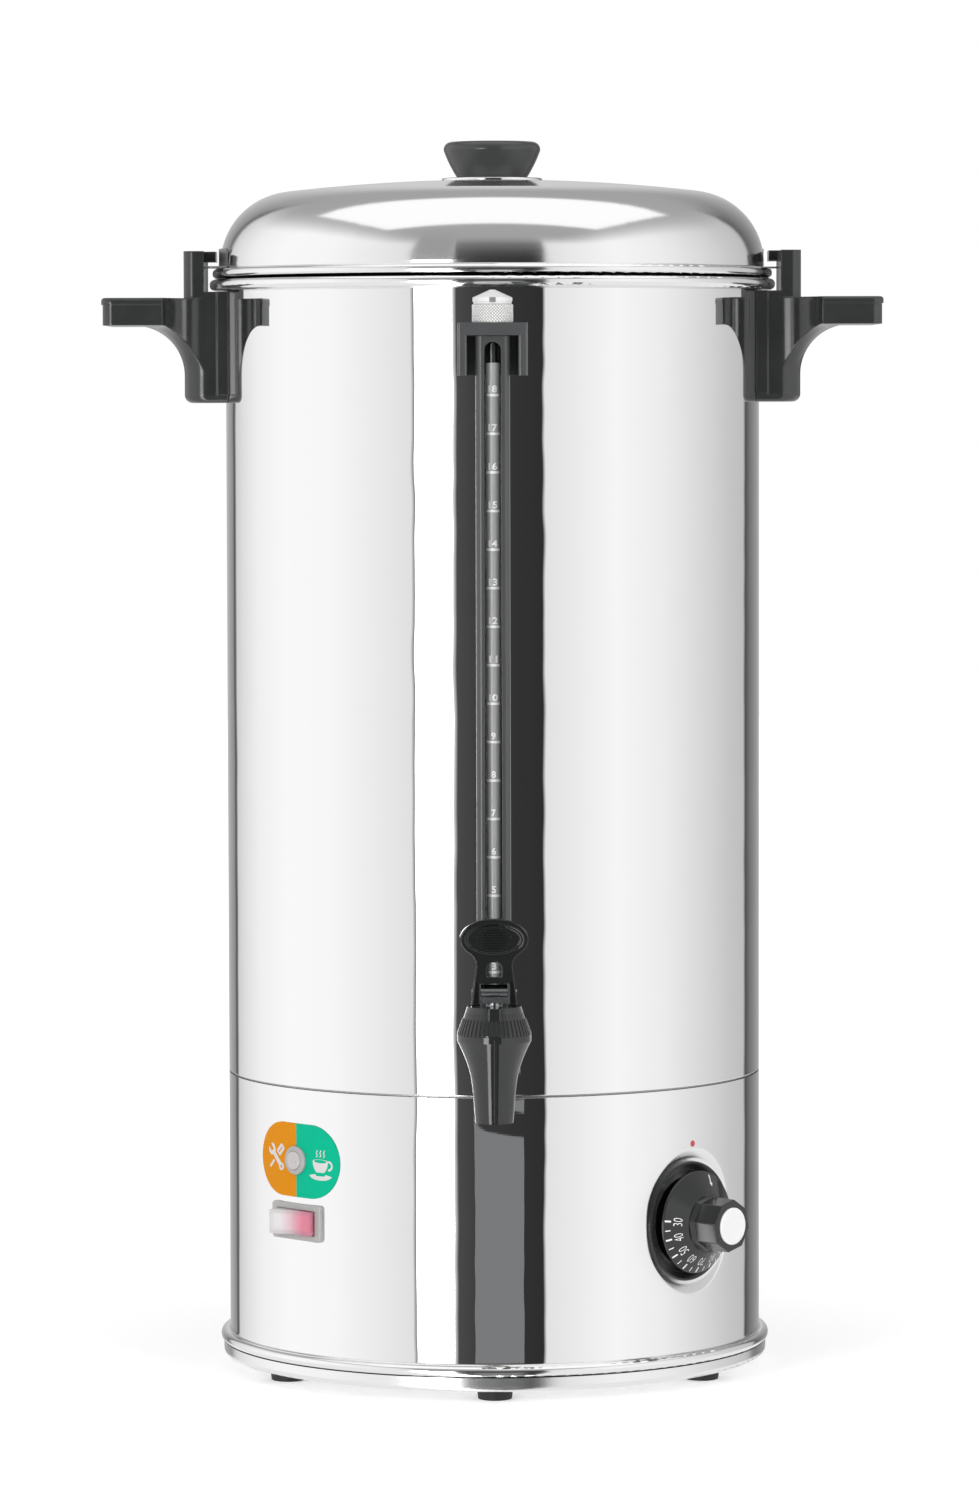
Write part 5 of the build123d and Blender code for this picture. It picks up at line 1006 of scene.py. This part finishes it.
def room_world():
    """White to the camera and through glass; in gloss, the walls, gap and ceiling of the room."""
    world = bpy.data.worlds.new("pale_room")
    bpy.context.scene.world = world
    world.use_nodes = True
    tree = world.node_tree
    tree.nodes.clear()

    heading = add(tree, "ShaderNodeTexCoord")
    split = add(tree, "ShaderNodeSeparateXYZ", {0: (heading, "Generated")})
    right, rise = (split, "X"), (split, "Z")
    front = add(tree, "ShaderNodeMath", {0: (split, "Y"), 1: -1.0}, operation="MULTIPLY")
    azimuth = add(tree, "ShaderNodeMath", {0: right, 1: front}, operation="ARCTAN2")
    ahead = within_span(tree, azimuth, FRONT_GAP)

    # The walls, by azimuth.
    round_room = add(
        tree, "ShaderNodeMapRange", {"Value": azimuth, "From Min": -pi, "From Max": pi}
    )
    walls = add(tree, "ShaderNodeValToRGB", {"Fac": round_room})
    stops = walls.color_ramp.elements
    while len(stops) > 1:
        stops.remove(stops[-1])
    for i, (degree, grey) in enumerate(ROOM):
        stop = stops[0] if i == 0 else stops.new((degree + 180) / 360)
        stop.position = (degree + 180) / 360
        stop.color = linear(grey)

    # Paler lane on the floor, in the middle of the front gap.
    low = add(tree, "ShaderNodeMath", {0: rise, 1: -sin(radians(6.6))}, operation="LESS_THAN")
    across = within_span(tree, azimuth, FLOOR_LANE)
    lane = add(tree, "ShaderNodeMath", {0: across, 1: low}, operation="MULTIPLY")
    ground = add(
        tree, "ShaderNodeMix", {"Factor": lane, "A": walls, "B": linear("#7A7B7C")},
        data_type="RGBA",
    )

    # Pale table below the walls, except in the dark gap in front.
    below = add(
        tree, "ShaderNodeMapRange",
        {"Value": rise, "From Min": -sin(radians(9.4)), "From Max": -sin(radians(17))},
        interpolation_type="SMOOTHSTEP",
    )
    dark_floor = add(tree, "ShaderNodeMath", {0: ahead, 1: below}, operation="MULTIPLY")
    pale = add(tree, "ShaderNodeMath", {0: below, 1: dark_floor}, operation="SUBTRACT")
    tabled = add(
        tree, "ShaderNodeMix", {"Factor": pale, "A": ground, "B": linear("#E8E8E8")},
        data_type="RGBA",
    )

    # The gap in front pales towards its top.
    rising = add(
        tree, "ShaderNodeMapRange",
        {"Value": rise, "From Min": sin(radians(7)), "From Max": sin(radians(32)), "To Max": 0.8},
    )
    haze = add(tree, "ShaderNodeMath", {0: ahead, 1: rising}, operation="MULTIPLY")
    room = add(
        tree, "ShaderNodeMix", {"Factor": haze, "A": tabled, "B": linear("#8C8C8C")},
        data_type="RGBA",
    )

    # Overhead: a grey gap above the walls, and the white softbox in it. Both are laid out flat
    # on a ceiling one unit up: half width, back edge, front edge, softness and grey.
    above = add(tree, "ShaderNodeMath", {0: rise, 1: 0.001}, operation="MAXIMUM")
    aside = add(tree, "ShaderNodeMath", {0: right, 1: above}, operation="DIVIDE")
    sideways = add(tree, "ShaderNodeMath", {0: aside}, operation="ABSOLUTE")
    forward = add(tree, "ShaderNodeMath", {0: front, 1: above}, operation="DIVIDE")
    for half_width, rear, near, soft, grey in (
        (1.25, -1.4, 1.7, 0.55, "#A2A2A2"),
        (0.88, -0.43, 0.62, 0.04, "#FFFFFF"),
    ):
        panel = add(
            tree, "ShaderNodeMapRange",
            {
                "Value": sideways, "From Min": half_width - soft, "From Max": half_width + soft,
                "To Min": 1.0, "To Max": 0.0,
            },
            interpolation_type="SMOOTHSTEP",
        )
        for edge, sense in ((rear, 1), (near, -1)):
            reach = add(
                tree, "ShaderNodeMapRange",
                {
                    "Value": forward, "From Min": edge - sense * soft,
                    "From Max": edge + sense * soft,
                },
                interpolation_type="SMOOTHSTEP",
            )
            panel = add(tree, "ShaderNodeMath", {0: panel, 1: reach}, operation="MULTIPLY")
        room = add(
            tree, "ShaderNodeMix", {"Factor": panel, "A": room, "B": linear(grey)},
            data_type="RGBA",
        )

    # The narrow softbox at the left is a lamp, far brighter than the walls, up to eye height.
    # Above that it greys, and high up it gives way to the ceiling.
    beside = within_span(tree, azimuth, NARROW_SOFTBOX)
    level = add(tree, "ShaderNodeMath", {0: rise, 1: sin(radians(1.25))}, operation="LESS_THAN")
    on_lamp = add(tree, "ShaderNodeMath", {0: beside, 1: level}, operation="MULTIPLY")
    upper = add(tree, "ShaderNodeMath", {0: beside, 1: on_lamp}, operation="SUBTRACT")
    high = add(
        tree, "ShaderNodeMapRange",
        {
            "Value": rise, "From Min": sin(radians(30)), "From Max": sin(radians(50)),
            "To Min": 1.0, "To Max": 0.0,
        },
        interpolation_type="SMOOTHSTEP",
    )
    over_lamp = add(tree, "ShaderNodeMath", {0: upper, 1: high}, operation="MULTIPLY")
    topped = add(
        tree, "ShaderNodeMix", {"Factor": over_lamp, "A": room, "B": linear("#9A9A9A")},
        data_type="RGBA",
    )
    power = add(
        tree, "ShaderNodeMapRange",
        {"Value": on_lamp, "To Min": 1 / STEEL_MIRRORS, "To Max": LAMP_GLARE / STEEL_MIRRORS},
    )

    mirrored = add(tree, "ShaderNodeBackground", {"Color": topped, "Strength": power})
    white = add(tree, "ShaderNodeBackground", {"Color": WHITE, "Strength": 1.0})
    lit = add(tree, "ShaderNodeBackground", {"Color": WHITE, "Strength": FILL})
    path = add(tree, "ShaderNodeLightPath")
    seen = add(
        tree, "ShaderNodeMath", {0: (path, "Is Camera Ray"), 1: (path, "Is Transmission Ray")},
        operation="MAXIMUM",
    )
    on_surfaces = add(
        tree, "ShaderNodeMixShader", {0: (path, "Is Glossy Ray"), 1: lit, 2: mirrored}
    )
    everywhere = add(tree, "ShaderNodeMixShader", {0: seen, 1: on_surfaces, 2: white})
    add(tree, "ShaderNodeOutputWorld", {"Surface": everywhere})


def table():
    """Pale table: it takes the urn's shadow and is lifted to white where the camera sees it."""
    half = 6.0
    corners = [(-half, -half, 0), (half, -half, 0), (half, half, 0), (-half, half, 0)]
    mesh = bpy.data.meshes.new("table")
    mesh.from_pydata(corners, [], [(0, 1, 2, 3)])
    floor = bpy.data.objects.new("table", mesh)
    bpy.context.scene.collection.objects.link(floor)

    # White lacquer, matt from wear: an even white with the urn's shadow on it, deepened by painted
    # shadow round the urn.
    material, tree = new_material("white_lacquered_table")
    matt = add(tree, "ShaderNodeBsdfDiffuse", {"Color": linear("#F2F2F2")})
    path = add(tree, "ShaderNodeLightPath")
    seen = add(
        tree, "ShaderNodeMath", {0: (path, "Is Camera Ray"), 1: (path, "Is Transmission Ray")},
        operation="MAXIMUM",
    )
    place = add(tree, "ShaderNodeNewGeometry")
    away = add(tree, "ShaderNodeVectorMath", {0: place}, operation="LENGTH")
    # Less light is added near the urn than far from it: painted shadow round the urn, on top of its
    # real shadow, which stays.
    glow_with_painted_shadow = add(
        tree, "ShaderNodeMapRange",
        {"Value": away, "From Min": 0.14, "From Max": 0.9, "To Min": 0.32, "To Max": 0.66},
    )
    lift = add(tree, "ShaderNodeMath", {0: seen, 1: glow_with_painted_shadow}, operation="MULTIPLY")
    glow = add(tree, "ShaderNodeEmission", {"Color": WHITE, "Strength": lift})
    both = add(tree, "ShaderNodeAddShader", {0: matt, 1: glow})
    add(tree, "ShaderNodeOutputMaterial", {"Surface": both})
    mesh.materials.append(material)
    floor.visible_glossy = False


def softbox(name, spot, aim, size, watts):
    """A large soft lamp that points at a spot. Its glare comes from the room, not from the lamp."""
    data = bpy.data.lights.new(name, "AREA")
    data.shape = "RECTANGLE"
    data.size, data.size_y = size
    data.energy = watts
    lamp = bpy.data.objects.new(name, data)
    lamp.location = spot
    lamp.rotation_euler = (Vector(aim) - Vector(spot)).to_track_quat("-Z", "Y").to_euler()
    lamp.visible_glossy = False
    bpy.context.scene.collection.objects.link(lamp)


bpy.context.scene.view_settings.view_transform = "Standard"
room_world()
table()
softbox("ceiling_softbox", (0, -0.45, 2.45), (0, -0.45, 0), (3.3, 2.5), 14)
softbox("left_softbox", (-1.6, -2.6, 1.0), (0, 0, 0.3), (0.9, 1.6), 34)
softbox("right_softbox", (1.9, -2.3, 1.0), (0, 0, 0.3), (1.4, 1.6), 30)

camera_data = bpy.data.cameras.new("camera")
camera_data.sensor_fit = "VERTICAL"
camera_data.sensor_height = 36.0
camera_data.lens = 149.0
camera_data.clip_start = 0.05
camera_data.clip_end = 50
camera = bpy.data.objects.new("camera", camera_data)
camera.location = (-0.0015, -3.0945, 0.4893)
camera.rotation_euler = (radians(86.628), radians(0.14), 0)
bpy.context.scene.collection.objects.link(camera)
bpy.context.scene.camera = camera
